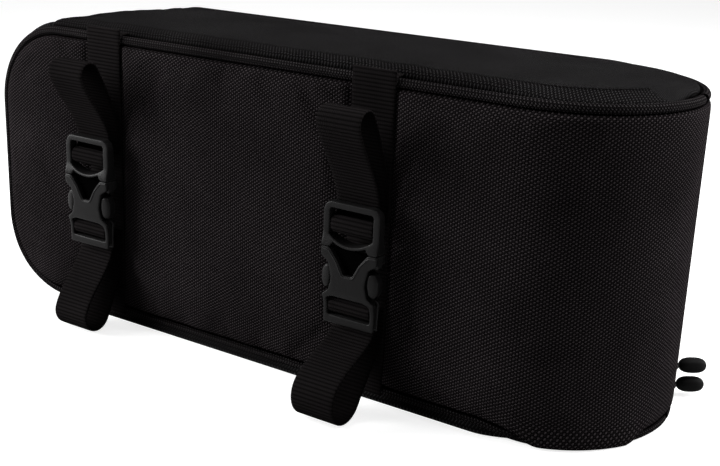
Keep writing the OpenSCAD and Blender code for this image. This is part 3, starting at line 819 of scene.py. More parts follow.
def lid_panel(k):
    """The part of the back that opens: from its right edge to its rounded left corners."""
    inset = LID_INSET
    r_left = CORNER_R - inset
    r_right = window_r(inset)
    s0, s_corner = s_at_angle(edge_angle(inset)), s_at_angle(CORNER_A)
    s1, s2 = s_at_back(CORNER_X), s_at_back(LEFT_X + inset)
    turn = np.linspace(0, PI / 2, 6 * k + 1)
    right = s_corner - (s_corner - s0) * np.cos(turn)
    middle = np.linspace(s_corner, s1, 84 * k + 1)[1:]
    left = s1 + (s2 - s1) * np.sin(np.linspace(0, PI / 2, 11 * k + 1)[1:])
    s = np.concatenate([right, middle, left])
    into = np.clip((s_corner - s) / (s_corner - s0), 0, 1)
    top = HEIGHT - inset - r_right * (1 - np.sqrt(np.maximum(1 - into**2, 0)))
    over = np.clip(s - s1, 0, r_left)
    drop = r_left - np.sqrt(np.maximum(r_left**2 - over**2, 0))
    top = top - drop
    bottom = inset + drop
    u, row = spread(s, np.linspace(0, 1, 34 * k + 1))
    v = bottom[:, None] + (top - bottom)[:, None] * row
    above = np.abs(v - HEIGHT / 2)
    straight = HEIGHT / 2 - inset - above
    beyond = np.maximum(above - (HEIGHT / 2 - inset - r_left), 0)
    round_left = r_left - np.hypot(np.maximum(u - s1, 0), beyond)
    in_corner = np.maximum(v - (HEIGHT - inset - r_right), 0)
    round_right = r_right - np.hypot(np.maximum(s0 + r_right - u, 0), in_corner)
    edge = np.minimum(np.where(u > s1, np.minimum(round_left, s2 - u), straight),
                      np.minimum(straight, u - s0))
    edge = np.where((u < s0 + r_right) & (in_corner > 0), np.minimum(edge, round_right), edge)
    return Panel(skin, skin_normal, u, v, edge)


padded_piece("lid_pad", lid_panel, PUFF["lid"], 0.01, front_cloth, ["lid_cover", "lid_foam"], "lid",
             most=1.6 * MM, depth=LID_T - LINING_T - SHEET_GAP)


# ---- Linings ----

def sheet_piece(name, panel, depth, node, body):
    """A thin layer of lining under a panel, at a depth below the case's surface."""
    outer = panel.place(panel.u, panel.v, -depth)
    inner = panel.place(panel.u, panel.v, -depth - LINING_T + 2 * SHEET_GAP)
    piece = shell(name, outer, inner, joined(panel.u, panel.v), lining_cloth)
    return fitted(piece, [node], body)


def front_lining_panel():
    inner = CORNER_R - WALL_T
    s = line_of(CORNER_R - inner * np.sin(np.linspace(PI / 2, 0, 13)),
                np.linspace(CORNER_R, s_at_angle(edge_angle(FOAM_IN)), 91))
    dx = np.clip(CORNER_R - s, 0, inner)
    half = HEIGHT / 2 - CORNER_R + np.sqrt(np.maximum(inner**2 - dx**2, 0))
    u, row = spread(s, np.linspace(-1, 1, 11))
    return Panel(skin, skin_normal, u, HEIGHT / 2 + half[:, None] * row)


def rim_lining_panel():
    half_w = END_R - FOAM_IN
    ends = END_R - half_w * np.sin(np.linspace(PI / 2, 0, 13))
    middle = np.linspace(END_R, RIM_L - END_R, 151)[1:-1]
    t = np.concatenate([ends, middle, RIM_L - ends[::-1]])
    from_end = np.minimum(t, RIM_L - t)
    half = np.sqrt(np.maximum(half_w**2 - np.maximum(END_R - from_end, 0) ** 2, 0))
    u, row = spread(t, np.linspace(-1, 1, 11))
    return Panel(rim, rim_normal, u, half[:, None] * row)


sheet_piece("lid_lining_cloth", lid_panel(1), LID_T - LINING_T + SHEET_GAP, "lid_lining", "lid")
sheet_piece("front_lining", front_lining_panel(), FOAM_IN + SHEET_GAP, "case_lining", "case")
sheet_piece("rim_lining", rim_lining_panel(), FOAM_IN + SHEET_GAP, "case_lining", "case")


# ---- Piping ----

# Painted shade over the last stretch at each end of a piping cord.
WELT_END_DARK = 1.6 * MM
WELT_SIDES = 20
WELT_SHORT = {-1: 30.0 * MM, 1: 28.8 * MM}
BACK_RISE, BACK_RISE_H, BACK_RISE_L = 1.5 * MM, 40 * MM, 37 * MM


def weld(piece, distance=0.001 * MM):
    """Joins points that lie on each other, and turns all faces outward."""
    b = bmesh.new()
    b.from_mesh(piece.data)
    bmesh.ops.remove_doubles(b, verts=b.verts, dist=distance)
    bmesh.ops.recalc_face_normals(b, faces=b.faces)
    b.to_mesh(piece.data)
    b.free()


def cord(name, centre, first, second, blunt):
    """A round cord along points, each with two directions across it. Its ends are round, or blunt, and darken
    with painted shade.
    """
    length = lengths(centre)
    count, across = len(centre), WELT_SIDES + 1
    phi = np.linspace(0, 2 * PI, across)
    to_end = np.minimum(length, length[-1] - length)
    dark = 1 - ease(to_end / WELT_END_DARK)
    to_end = to_end + (PIPING_R if blunt else 0)
    r = PIPING_R * np.sqrt(1 - (1 - np.clip(to_end / PIPING_R, 0, 1)) ** 2)
    r = np.maximum(r, 0.02 * PIPING_R)[:, None, None]
    ring = np.cos(phi)[None, :, None] * first[:, None] + np.sin(phi)[None, :, None] * second[:, None]
    verts = (centre[:, None] + r * ring).reshape(-1, 3)
    uv = joined(length[:, None], phi[None] * PIPING_R).reshape(-1, 2)
    faces = list(grid_faces(count, across))
    faces += [np.arange(across)[::-1], (count - 1) * across + np.arange(across)]
    piece = new_object(name, verts, faces, uv, [welt_cloth], seam=np.repeat(dark, across))
    weld(piece)
    return piece


def welt_line(face, step):
    """Centre of the piping of one face (-1 front, 1 back), with its directions out and to the edge."""
    inset = CHANNEL / 2
    turn = PI / 2 - face * (edge_angle(CHANNEL) - WELT_SHORT[face] / END_R)
    a = face * (PI / 2 - np.linspace(turn, 0, int(END_R * turn / step)))
    reach = END_R - inset
    round_top = joined(END_X + reach * np.cos(a), reach * np.sin(a), HEIGHT - inset)
    x = np.linspace(END_X, CORNER_X, int((END_X - CORNER_X) / step))
    y = face * reach
    c = np.linspace(PI / 2, PI, int(CORNER_R * PI / 2 / step))
    r = CORNER_R - inset
    corner = joined(CORNER_X + r * np.cos(c), y, HEIGHT - CORNER_R + r * np.sin(c))
    half = line_of(round_top, joined(x, y, HEIGHT - inset), corner)
    out = np.concatenate([joined(np.cos(a), np.sin(a), 0),
                          np.repeat([[0.0, face, 0.0]], len(half) - len(a), 0)])
    up = np.concatenate([np.repeat([[0.0, 0.0, 1.0]], len(a) + len(x) - 1, 0),
                         joined(np.cos(c), 0, np.sin(c))[1:]])
    z = np.linspace(HEIGHT - CORNER_R, CORNER_R, int((HEIGHT - 2 * CORNER_R) / step))[1:-1]
    below = half[::-1] * [1, 1, -1] + [0, 0, HEIGHT]
    centre = np.concatenate([half, joined(LEFT_X + inset, y, z), below])
    out = np.concatenate([out, np.repeat([[0.0, face, 0.0]], len(z), 0), out[::-1]])
    edge = np.concatenate([up, np.repeat([[-1.0, 0.0, 0.0]], len(z), 0), up[::-1] * [1, 1, -1]])
    return centre, out, edge


def welt(name, face, node):
    centre, out, edge = welt_line(face, 1.2 * MM)
    if face > 0:
        share = ease((centre[:, 2] - HEIGHT + BACK_RISE_H) / BACK_RISE_L)
        centre[:, 2] += BACK_RISE * share * straight_share(centre[:, 0])
    return fitted(cord(name, settled(centre), out, edge, face > 0), [node], "case")


welt("front_welt", -1, "front_piping")
welt("back_welt", 1, "back_piping")


# ---- Stitches ----

STITCH_L, STITCH_PITCH, STITCH_R = 2.3 * MM, 3.3 * MM, 0.24 * MM
STITCH_FORM = [(0, 0.35), (0.16, 0.85), (0.5, 1.0), (0.84, 0.85), (1, 0.35)]
STITCH_SIDES = 6
DOWN = np.array([0.0, 0.0, -1.0])
RAY_FROM = 20 * MM


def top_line(inset, stop):
    """Along the front of the top at an inset from its seam, and round the end to an angle."""
    reach = END_R - CHANNEL - inset
    a = np.radians(np.linspace(-90, stop, 40))
    return line_of(joined(np.linspace(SEAM_X + 8 * MM, END_X, 60), -reach, HEIGHT),
                   joined(END_X + reach * np.cos(a), reach * np.sin(a), HEIGHT))


def stitch_row(name, line):
    """Stitches along points, each laid on the top."""
    length = lengths(line)
    surface = top_pad.evaluated_get(bpy.context.evaluated_depsgraph_get())
    verts, faces = [], []
    for first in np.arange(2 * STITCH_PITCH, length[-1] - STITCH_PITCH, STITCH_PITCH):
        ends = [np.array([np.interp(first + d, length, line[:, k]) for k in range(3)])
                for d in (0, STITCH_L)]
        hits = [surface.ray_cast(Vector(e - RAY_FROM * DOWN), Vector(DOWN)) for e in ends]
        if not all(h[0] for h in hits):
            continue
        a, b = (np.array(h[1]) for h in hits)
        up = np.array(hits[0][2])
        side = np.cross(unit(b - a), up)
        faces += tube_faces(len(STITCH_FORM), STITCH_SIDES, len(verts))
        for share, size in STITCH_FORM:
            centre = a + share * (b - a) + up * STITCH_R * (size - 0.6)
            for turn in np.arange(STITCH_SIDES) * 2 * PI / STITCH_SIDES:
                verts.append(centre + STITCH_R * size * (math.cos(turn) * side + math.sin(turn) * up))
    piece = new_object(name, verts, faces, None, [thread])
    weld(piece)
    return fitted(piece, ["top_panel"], "case")


stitch_row("top_front_stitches", top_line(STRIP_W, -25))
stitch_row("top_edge_stitches", top_line(3.2 * MM, -85))


# ---- Webbing ----

def arc(c, r, a0, a1, n):
    a = np.radians(np.linspace(a0, a1, n + 1))
    return np.asarray(c) + r * np.stack([np.cos(a), np.sin(a)], -1)


def bezier(a, b, c, d, n):
    t = np.linspace(0, 1, n + 1)[:, None]
    a, b, c, d = (np.asarray(p) for p in (a, b, c, d))
    return (1 - t) ** 3 * a + 3 * (1 - t) ** 2 * t * b + 3 * (1 - t) * t**2 * c + t**3 * d


def smooth_path(points, step):
    """Points at even steps along a smooth curve through the given ones."""
    points = np.asarray(points, float)
    fine = upsample(np.repeat(points[:, None], 2, 1), 8)[:, 0]
    at = lengths(fine)
    want = np.linspace(0, at[-1], max(int(at[-1] / step), 4))
    return np.stack([np.interp(want, at, fine[:, k]) for k in (0, 1)], -1)


RIB_RELIEF = 0.11 * MM
LOOP_SHADE = 0.6
WEB_ACROSS = np.array([-1, -0.985, -0.94, -0.8, -0.6, -0.4, -0.2, 0, 0.2, 0.4, 0.6, 0.8, 0.94, 0.985, 1])
WEB_FULL = np.array([0.3, 0.72, 0.95, 1, 1, 1, 1, 1, 1, 1, 1, 1, 0.95, 0.72, 0.3])


def ribbon(name, side, path, body, node, start=0.0, shade=None, inner=0):
    """Ribbed webbing on a belt's line, along points of [distance out, height]. shade tells where it lies in
    the dark behind a bar, from the length still to go, and inner which of its faces lies in the dark inside
    a loop. Returns the piece and the length at its end."""
    path = smooth_path(path, 0.33 * MM)
    tangent = unit(np.gradient(path, axis=0))
    across = np.stack([-tangent[:, 1], tangent[:, 0]], -1)
    length = start + lengths(path)
    rib = np.abs(np.sin(length * PI / RIB_PITCH)) ** 0.7
    height = STRAP_T / 2 * WEB_FULL[None] - RIB_RELIEF * (1 - rib[:, None]) * WEB_FULL[None]
    v = WEB_ACROSS[None] * STRAP_W / 2 * np.ones_like(height)
    layers = []
    for face in (1, -1):
        where = path[:, None] + across[:, None] * (face * height)[..., None]
        layers.append(np.stack([STRAP_X[side] + v, -END_R - where[..., 0], where[..., 1]], -1))
    ring = np.concatenate([layers[0], layers[1][:, ::-1]], 1)
    sides = ring.shape[1]
    uv = joined(length[:, None], np.concatenate([v, v[:, ::-1]], 1))
    dark = 0 * length if shade is None else shade(length[-1] - length)
    dark = np.repeat(dark[:, None], sides, 1)
    if inner:
        half = slice(0, sides // 2) if inner > 0 else slice(sides // 2, sides)
        dark[:, half] = np.maximum(dark[:, half], LOOP_SHADE)
    piece = new_object(name, ring.reshape(-1, 3), tube_faces(len(path), sides), uv.reshape(-1, 2),
                       [web_cloth], seam=dark.ravel())
    weld(piece)
    return fitted(piece, [node], body), length[-1]


BELT_OUT = STRAP_T / 2 + 0.1 * MM
FOLD_R = 6.5 * MM
FOLD_BACK, FOLD_FRONT = 150.0, -20.0
BUCKLE_L = 64 * MM
BAR_R = 1.6 * MM
BAR_OUT = BUCKLE_D - 0.6 * MM
WRAP_R = BAR_R + 0.1 * MM + STRAP_T / 2
FRAME_T = 5.2 * MM
PASS_OUT = BUCKLE_D - FRAME_T / 2 - STRAP_T / 2 - 0.45 * MM
TAIL_OUT = PASS_OUT - STRAP_T - 0.35 * MM
SEWN_OUT = BELT_OUT + STRAP_T + 0.1 * MM
SEWN_L = 10 * MM
PLUG_Z = 38.6 * MM
SLOT_L = BUCKLE_L - PLUG_Z - 3 * MM - 4.9 * MM
PLUG_BAR = BUCKLE_L - 3 * MM - SLOT_L / 2
SOCKET_BAR = 9.4 * MM
UPPER_FOLD = (24 * MM, HEIGHT - 19 * MM)
LOWER_FOLD = {"left": (24 * MM, 10.2 * MM, 9 * MM), "right": (33.5 * MM, 13.6 * MM, 12.5 * MM)}
UPPER_WRAP, LOWER_WRAP = 1.65, 1.45


def belt_path():
    inset = CHANNEL / 2
    bend = inset + BELT_OUT
    over = arc([-inset, HEIGHT - inset], bend, 0, 90, 8)
    return np.concatenate([[[BELT_OUT, inset], [BELT_OUT, HEIGHT / 2]], over,
                           [[-CHANNEL - 1 * MM, HEIGHT + BELT_OUT]]])


def strap_parts(fold_out, fold_h, pass_h, fold_r, tall):
    """Runs of a strap, with heights counted from its bar towards the fold: sewn end to the turn of the
    fold, turn to the frame's edge, and round the bar to the tail."""
    direction = {a: np.array([math.sin(math.radians(a)), -math.cos(math.radians(a))])
                 for a in (FOLD_BACK, FOLD_FRONT)}
    c = np.array([fold_out, fold_h])
    back = arc(c, fold_r, FOLD_BACK, FOLD_BACK, 0)[0]
    front = arc(c, fold_r, FOLD_FRONT, FOLD_FRONT, 0)[0]
    rise = bezier([SEWN_OUT, 2 * MM + SEWN_L], [SEWN_OUT, 2 * MM + 2 * SEWN_L],
                  back - 12 * MM * direction[FOLD_BACK], back, 10)
    up = arc(c, fold_r, FOLD_BACK - 15, 90, 4)
    over = arc(c, fold_r, 90, FOLD_FRONT + 15, 7)
    down = bezier(front, front + 14 * MM * direction[FOLD_FRONT],
                  [PASS_OUT, pass_h + 13 * MM], [PASS_OUT, pass_h], 10)
    round_bar = arc([0, 0], WRAP_R, 120, -125, 14) * [1, tall] + [BAR_OUT, 0]
    wrap = np.concatenate([
        [[PASS_OUT, pass_h], [PASS_OUT + 0.1 * MM, pass_h - 1.8 * MM]],
        round_bar,
        [[TAIL_OUT + 0.9 * MM, 0.6 * MM], [TAIL_OUT, 3.4 * MM], [TAIL_OUT, 7 * MM]],
    ])
    return (np.concatenate([[[SEWN_OUT, 2 * MM]], rise, up]), np.concatenate([over, down]), wrap)


def placed(run, bar_z, direction):
    return np.stack([run[:, 0], bar_z + direction * run[:, 1]], -1)


BAND = (11 * MM, 23 * MM)


def behind_bar(rest):
    """Shade of a strap near its bar: only the band that turns over the bar's front is in the light."""
    lit = ease((rest - BAND[0]) / (2 * MM)) * (1 - ease((rest - BAND[1]) / (2 * MM)))
    return np.where(rest > BAND[1] + 8 * MM, 0, (1 - lit) * (1 - ease((rest - BAND[1] - 4 * MM) / (4 * MM))))


def belt_and_straps(side):
    belt = f"belt_{side}"
    ribbon(f"{belt}_webbing", side, belt_path(), "case", belt)

    bar_z = BUCKLE_Z[side] + PLUG_BAR
    pass_h = BUCKLE_L - PLUG_BAR - 2.5 * MM
    parts = strap_parts(UPPER_FOLD[0], UPPER_FOLD[1] - bar_z, pass_h, FOLD_R, UPPER_WRAP)
    back, front, wrap = (placed(p, bar_z, 1) for p in parts)
    node = f"strap_upper_{side}"
    _, end = ribbon(f"strap_{side}_back_run", side, back, "case", node, inner=-1)
    piece, end = ribbon(f"strap_{side}_front_run", side, front, "case", node, end, inner=-1)
    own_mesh(piece)
    ribbon(f"strap_{side}_bar_turn", side, wrap, f"plug_{side}", node, end, behind_bar)

    bar_z = BUCKLE_Z[side] + SOCKET_BAR
    fold_out, fold_z, fold_r = LOWER_FOLD[side]
    runs = strap_parts(fold_out, bar_z - fold_z, SOCKET_BAR - 1 * MM, fold_r, LOWER_WRAP)
    whole = line_of(*(placed(r, bar_z, -1) for r in runs))
    ribbon(f"strap_{side}_lower_loop", side, whole, "case", f"strap_lower_{side}", 0.0, behind_bar, 1)


for side in STRAP_X:
    belt_and_straps(side)


# ---- Moulded plastic ----

def rounded(corners, step=0.45, closed=True):
    """An outline from corners (x, z, radius), in millimetres, with points about a step apart."""
    count = len(corners)
    points = []
    for k in range(count):
        p = np.array(corners[k][:2], float)
        if not closed and k in (0, count - 1):
            points.append(p)
            continue
        a = np.array(corners[k - 1][:2], float) - p
        b = np.array(corners[(k + 1) % count][:2], float) - p
        la, lb = np.linalg.norm(a), np.linalg.norm(b)
        a, b = a / la, b / lb
        half = math.acos(np.clip(a @ b, -1, 1)) / 2
        cut = min(corners[k][2] / math.tan(half), 0.49 * la, 0.49 * lb)
        r = cut * math.tan(half)
        if r < 0.05:
            points.append(p)
            continue
        middle = p + (a + b) / np.linalg.norm(a + b) * r / math.sin(half)
        first, last = p + a * cut - middle, p + b * cut - middle
        turn = math.atan2(first[0] * last[1] - first[1] * last[0], first @ last)
        n = max(int(abs(turn) * r / step), 4)
        base = math.atan2(first[1], first[0])
        points += [middle + r * np.array([math.cos(base + turn * j / n), math.sin(base + turn * j / n)])
                   for j in range(n + 1)]
    return even(np.array(points), step, closed)


def even(points, step, closed):
    """The same outline with extra points along its long stretches."""
    out = []
    pairs = list(zip(points, np.roll(points, -1, 0)))
    for p, q in pairs if closed else pairs[:-1]:
        n = max(int(np.linalg.norm(q - p) / step), 1)
        out += [p + (q - p) * j / n for j in range(n)]
    return np.array(out if closed else out + [points[-1]])


def mirrored(half):
    """Corners of a whole outline from those of its right half, going round from the bottom middle."""
    return list(half) + [(-x, z, r) for x, z, r in reversed(half) if x > 0.01]


def area_of(loop):
    x, z = loop[:, 0], loop[:, 1]
    return 0.5 * float((x * np.roll(z, -1) - np.roll(x, -1) * z).sum())


def inset_by(loop, distance):
    """The loop drawn in by a distance towards the solid, which lies to its left."""
    along = unit(np.roll(loop, -1, 0) - np.roll(loop, 1, 0))
    return loop + distance * np.stack([-along[:, 1], along[:, 0]], -1)


def inside(points, loops):
    """Whether each point lies in the solid between the loops."""
    hit = np.zeros(len(points), bool)
    for loop in loops:
        a, b = loop, np.roll(loop, -1, 0)
        for p, q in zip(a, b):
            cross = (p[1] > points[:, 1]) != (q[1] > points[:, 1])
            with np.errstate(divide="ignore", invalid="ignore"):
                x = p[0] + (points[:, 1] - p[1]) / (q[1] - p[1]) * (q[0] - p[0])
            hit ^= cross & (points[:, 0] < x)
    return hit


def cap(loops, pitch=1.6):
    """Triangles over the area between loops, with points inside it, as (points, triangles)."""
    low_c, high_c = loops[0].min(0), loops[0].max(0)
    xs, zs = (np.arange(low_c[k] + pitch / 2, high_c[k], pitch) for k in (0, 1))
    grid = np.stack(np.meshgrid(xs, zs), -1).reshape(-1, 2)
    rims = np.concatenate(loops)
    grid = grid[inside(grid, loops)]
    gap = np.min(np.linalg.norm(grid[:, None] - rims[None], axis=-1), axis=1) if len(grid) else np.zeros(0)
    grid = grid[gap > 0.45 * pitch]
    points = np.concatenate([rims, grid])
    edges, first = [], 0
    for loop in loops:
        n = len(loop)
        edges += [(first + j, first + (j + 1) % n) for j in range(n)]
        first += n
    found = delaunay_2d_cdt([Vector(p) for p in points], edges, [], 0, 1e-7)
    if any(len(o) == 0 for o in found[3]):
        raise ValueError("an outline crosses itself")
    triangles = np.array([o[0] for o in found[3]])[np.array(found[2])]
    middle = points[triangles].mean(1)
    triangles = triangles[inside(middle, loops)]
    a, b, c = (points[triangles[:, k]] for k in range(3))
    turned = (b[:, 0] - a[:, 0]) * (c[:, 1] - a[:, 1]) - (b[:, 1] - a[:, 1]) * (c[:, 0] - a[:, 0]) < 0
    triangles[turned] = triangles[turned][:, ::-1]
    return points, triangles


class Solid:
    """Points and faces of a piece, gathered from several closed forms. Millimetres: x, out, z."""

    def __init__(self):
        self.points, self.faces, self.kinds = [], [], []
        self.count, self.kind = 0, 0

    def add(self, points, faces):
        self.points.append(np.asarray(points, float))
        self.faces += [tuple(int(k) + self.count for k in f) for f in faces]
        self.kinds += [self.kind] * len(faces)
        self.count += len(points)

    def take(self, other, turn):
        """Adds another solid, with its points turned."""
        self.add(turn(np.concatenate(other.points)), other.faces)

    def moulded(self, loops, front, back, bevel=0.8, rings=4):
        """A plate between two surfaces out = front(x, z) and back(x, z), with rounded edges. The first
        loop is its outline and the rest are holes."""
        front, back = (f if callable(f) else (lambda x, z, f=f: 0 * x + f) for f in (front, back))
        loops = [loop if (area_of(loop) > 0) == (k == 0) else loop[::-1] for k, loop in enumerate(loops)]
        turns = np.linspace(0, PI / 2, rings + 1)
        levels = []
        for side, surface in ((1, front), (-1, back)):
            for turn in (turns if side > 0 else turns[::-1]):
                drawn = [inset_by(loop, bevel * (1 - math.cos(turn))) for loop in loops]
                drop = bevel * (1 - math.sin(turn))
                levels.append((drawn, surface, -side * drop))
        levels = levels[rings + 1:] + levels[:rings + 1]
        points, triangles = cap(levels[0][0])
        rims = sum(len(loop) for loop in loops)
        first = self.count
        x, z = points[:, 0], points[:, 1]
        self.add(np.stack([x, back(x, z), z], -1), triangles[:, ::-1])
        below = np.arange(rims) + first
        for drawn, surface, shift in levels[1:]:
            flat = np.concatenate(drawn)
            here = self.count + np.arange(rims)
            quads, at = [], 0
            for loop in drawn:
                j = np.arange(len(loop))
                k = (j + 1) % len(loop)
                corners = [below[at + j], below[at + k], here[at + k], here[at + j]]
                quads += list(np.stack(corners, -1) - self.count)
                at += len(loop)
            out = surface(flat[:, 0], flat[:, 1]) + shift
            self.add(np.stack([flat[:, 0], out, flat[:, 1]], -1), quads)
            below = here
        points, triangles = cap(levels[-1][0])
        x, z = points[:, 0], points[:, 1]
        start = self.count
        faces = np.where(triangles < rims, below[np.minimum(triangles, rims - 1)] - start, triangles)
        self.add(np.stack([x, front(x, z), z], -1), faces)

    def rod(self, path, radius, sides):
        """A round rod along points, closed at both ends."""
        path = np.asarray(path, float)
        tangent = unit(np.gradient(path, axis=0))
        side = unit(np.cross(tangent, [0.0, 1.0, 0.0]))
        self.swept(path, side, np.cross(side, tangent), radius, np.linspace(0, 2 * PI, sides, endpoint=False))

    def swept(self, path, side, other, radius, phi):
        """A round section carried along points, each with two directions across it."""
        ring = np.cos(phi)[None, :, None] * side[:, None] + np.sin(phi)[None, :, None] * other[:, None]
        radius = np.broadcast_to(np.asarray(radius, float), len(path))
        verts = (path[:, None] + radius[:, None, None] * ring).reshape(-1, 3)
        self.add(verts, tube_faces(len(path), len(phi)))

    def finish(self, name, place, materials, slot, body, node):
        """The piece as an object. place turns its points into metres in the frame."""
        verts = place(np.concatenate(self.points))
        kept = [k for k, f in enumerate(self.faces) if len(set(f)) > 2]
        piece = new_object(name, verts, [self.faces[k] for k in kept], None, materials,
                           [self.kinds[k] for k in kept])
        weld(piece, 0.002 * MM)
        piece.data.set_sharp_from_angle(angle=math.radians(50))
        return fitted(piece, [node], body)


# ---- Buckles ----

def on_front(side):
    """Places a buckle's millimetres: x across, out from its middle plane, z up from its bottom."""
    def place(points):
        x, out, z = points.T * MM
        return np.stack([STRAP_X[side] + x, -END_R - BUCKLE_D - out, BUCKLE_Z[side] + z], -1)
    return place


def buckle_part(solid, name, side, body, node):
    return solid.finish(name, on_front(side), [buckle_plastic, buckle_shadow_black], "buckle_plastic", body, node)


def bow(half, z_end, z_middle, count=14):
    """Points of a shallow arc across the buckle, from left to right, hanging from z_end to z_middle."""
    sag = z_end - z_middle
    r = (half**2 + sag**2) / (2 * sag)
    x = np.linspace(half, -half, count)[::-1]
    return [(px, z_middle + r - math.sqrt(r * r - px * px), 0) for px in x]


def wide(*half):
    """A whole outline from the corners of its right half."""
    return rounded(mirrored(half))


def crown(x, height):
    """The slight rise of a moulded face towards its middle."""
    return height * (1 - (x / 16.5) ** 2)


def plug_piece(side):
    s = Solid()
    frame_loop = rounded([(16.5, 40.9, 0.8), (16.5, 64, 5.0), (-16.5, 64, 5.0), (-16.5, 40.9, 0.8),
                          (-11.6, 40.9, 2.0)] + bow(9.6, 43.4, 41.3) + [(11.6, 40.9, 2.0)])
    slot = rounded([(12.9, 60.8, 1.6), (-12.9, 60.8, 1.6)]
                   + [(x, z, 0.8) for x, z, _ in bow(12.9, 47.4, 42.9)])

    def front(x, z):
        return 2.7 + 1.5 * ease((49 - z) / 8) - 0.35 * ease((z - 56) / 8) + crown(x, 0.25)

    def back(x, z):
        return -2.6 - 1.6 * ease((49 - z) / 8)

    s.moulded([frame_loop, slot], front, back, 0.65)
    s.moulded([wide((14.5, 50.2, 1.0), (14.5, 55.0, 1.0))], 1.0, -1.0, 0.9)
    # The tongue, seen only inside the socket, takes the painted shadow black.
    s.kind = 1
    s.moulded([wide((2.2, 22, 1.0), (2.2, 42.5, 0.4))], 1.3, -1.3, 0.4)
    return buckle_part(s, f"plug_{side}_frame", side, f"plug_{side}", f"plug_{side}")


NOTCH = [(16.5, 35.8, 2.2), (11.9, 32.8, 3.0), (9.9, 24.6, 9.0), (11.6, 18.2, 3.5), (15.6, 15.0, 1.1)]
VEE = [(11.4, 40.7, 3.2), (6.4, 34.6, 7.0), (2.5, 27.6, 2.0)]
LIP = [(16.0, 39.5, 0.1), (11.9, 39.3, 3.2), (7.3, 34.2, 7.0), (3.3, 26.6, 2.4)]


def socket_piece(side):
    s = Solid()
    slot = wide((12.9, 4.3, 1.3), (12.9, 13.8, 2.2), (9.0, 15.1, 8.0))
    plate = [(13.0, 0, 0), (15.0, 0, 3.2), (15.3, 13.4, 3.0), *NOTCH[::-1], (16.5, 40.6, 0.8)]

    def front(x, z):
        return 2.5 + 1.75 * ease((z - 8) / 10) + crown(x, 0.3)

    def back(x, z):
        return -2.6 - 1.7 * ease((z - 8) / 10)

    s.moulded([wide(*plate, *VEE), slot], front, 1.3, 0.7)
    s.moulded([wide(*plate), slot], -1.3, back, 0.6)
    s.moulded([wide((14.6, 1.0, 2.5), (14.6, 12.6, 1.0), (12.4, 17.4, 1.0)), slot], 2.0, -2.0, 0.3, 2)
    for way in (1, -1):
        cheek = rounded([(way * 13.2, 34.0, 0.5), (way * 16.4, 34.0, 0.5), (way * 16.4, 40.4, 0.3),
                         (way * 13.2, 40.4, 0.5)])
        s.moulded([cheek], 2.0, -2.0, 0.2, 2)
    s.moulded([wide((14.2, 7.0, 1.0), (14.2, 11.4, 1.0))], 1.0, -1.0, 0.9)
    # A thin black sheet across the socket's opening: painted shadow inside it.
    s.kind = 1
    s.moulded([wide((12.6, 18.0, 1.0), (12.6, 39.8, 1.0))], 1.36, 1.2, 0.05, 2)
    s.kind = 0
    line = rounded(mirrored(LIP), closed=False)
    s.rod(np.stack([line[:, 0], front(line[:, 0], line[:, 1]) - 0.05, line[:, 1]], -1), 0.42, 8)
    return buckle_part(s, f"socket_{side}_shell", side, "case", f"socket_{side}")


def prong_piece(side, name, way):
    def turned(*half):
        return rounded([(way * x, z, r) for x, z, r in half])

    def face(x, z):
        return 3.6 - 0.05 * (abs(x) - 12.5) ** 2 - 0.012 * (z - 24.6) ** 2

    s = Solid()
    button = turned((10.9, 31.0, 2.0), (14.4, 31.4, 2.6), (16.9, 27.6, 5.0), (16.9, 21.4, 5.0),
                    (14.6, 17.9, 2.4), (11.8, 19.6, 2.5), (10.7, 24.6, 8.0))
    s.moulded([button], face, lambda x, z: -face(x, z), 1.3, 5)
    # The arm, seen only inside the socket, takes the painted shadow black.
    s.kind = 1
    arm = turned((7.1, 40.6, 0.8), (9.5, 40.6, 0.8), (12.0, 31.0, 1.0), (12.6, 21.0, 1.0), (9.4, 21.0, 1.0),
                 (8.2, 31.0, 2.0))
    s.moulded([arm], 1.15, -1.15, 0.4, 2)
    node = f"prong_{side}_{name}"
    return buckle_part(s, f"{node}_button", side, node, node)


for side in STRAP_X:
    plug_piece(side)
    socket_piece(side)
    prong_piece(side, "a", -1)
    prong_piece(side, "b", 1)


# ---- Zipper ----

ZIP_END_Z = LID_INSET + 0.2 * MM
LID_ZIP_Z = 27.5 * MM
TAPE_EDGE = CHANNEL - 1.2 * MM
COIL_PITCH = 1.45 * MM
COIL_DEPTH = 1.5 * MM
COIL_HALF_W = 0.8 * MM
COIL_HALF_T = 0.66 * MM
COIL_OFF = 0.93 * MM
WIRE_R = 0.34 * MM
WIRE_SIDES = 5


def low_turn(i):
    """The angle about the low left corner of the back where the zipper ends, at inset i."""
    return PI + math.asin(min((CORNER_R - ZIP_END_Z) / (CORNER_R - i), 1))


def back_arc(i, start, end, count, z=CORNER_R):
    """(s, z) round a left corner of the back at inset i, with its middle at height z."""
    turn = np.linspace(start, end, count)
    reach = CORNER_R - i
    return joined(s_at_back(CORNER_X + reach * np.cos(turn)), z + reach * np.sin(turn))


def window_arc(reach, turn):
    """s round the zipper's right corner, at a reach from its middle."""
    return s_at_angle(CORNER_A + np.arcsin(-reach * np.cos(turn) / CORNER_REACH))


def zip_line(i, z_low):
    """(s, z) along the zipper at inset i: up the round end, over its corner, along the top, down the left
    end and under it. Every inset has the same number of points."""
    r = window_r(i)
    z_corner = HEIGHT - i - r
    run = joined(s_at_angle(edge_angle(i)), np.linspace(z_low, z_corner, 60))
    turn = np.linspace(0, PI / 2, 16)
    corner = joined(window_arc(r, turn), z_corner + r * np.sin(turn))
    top = joined(np.linspace(s_at_angle(CORNER_A), s_at_back(CORNER_X), 180), HEIGHT - i)
    down = joined(s_at_back(LEFT_X + i), np.linspace(HEIGHT - CORNER_R, CORNER_R, 40))
    return line_of(run, corner, top, back_arc(i, PI / 2, PI, 30, HEIGHT - CORNER_R), down,
                   back_arc(i, PI, low_turn(i), 24))


def between(a, b, share):
    """A grid of points between two lines, by the shares of the way from one to the other."""
    return a[:, None] + (b - a)[:, None] * share[None, :, None]


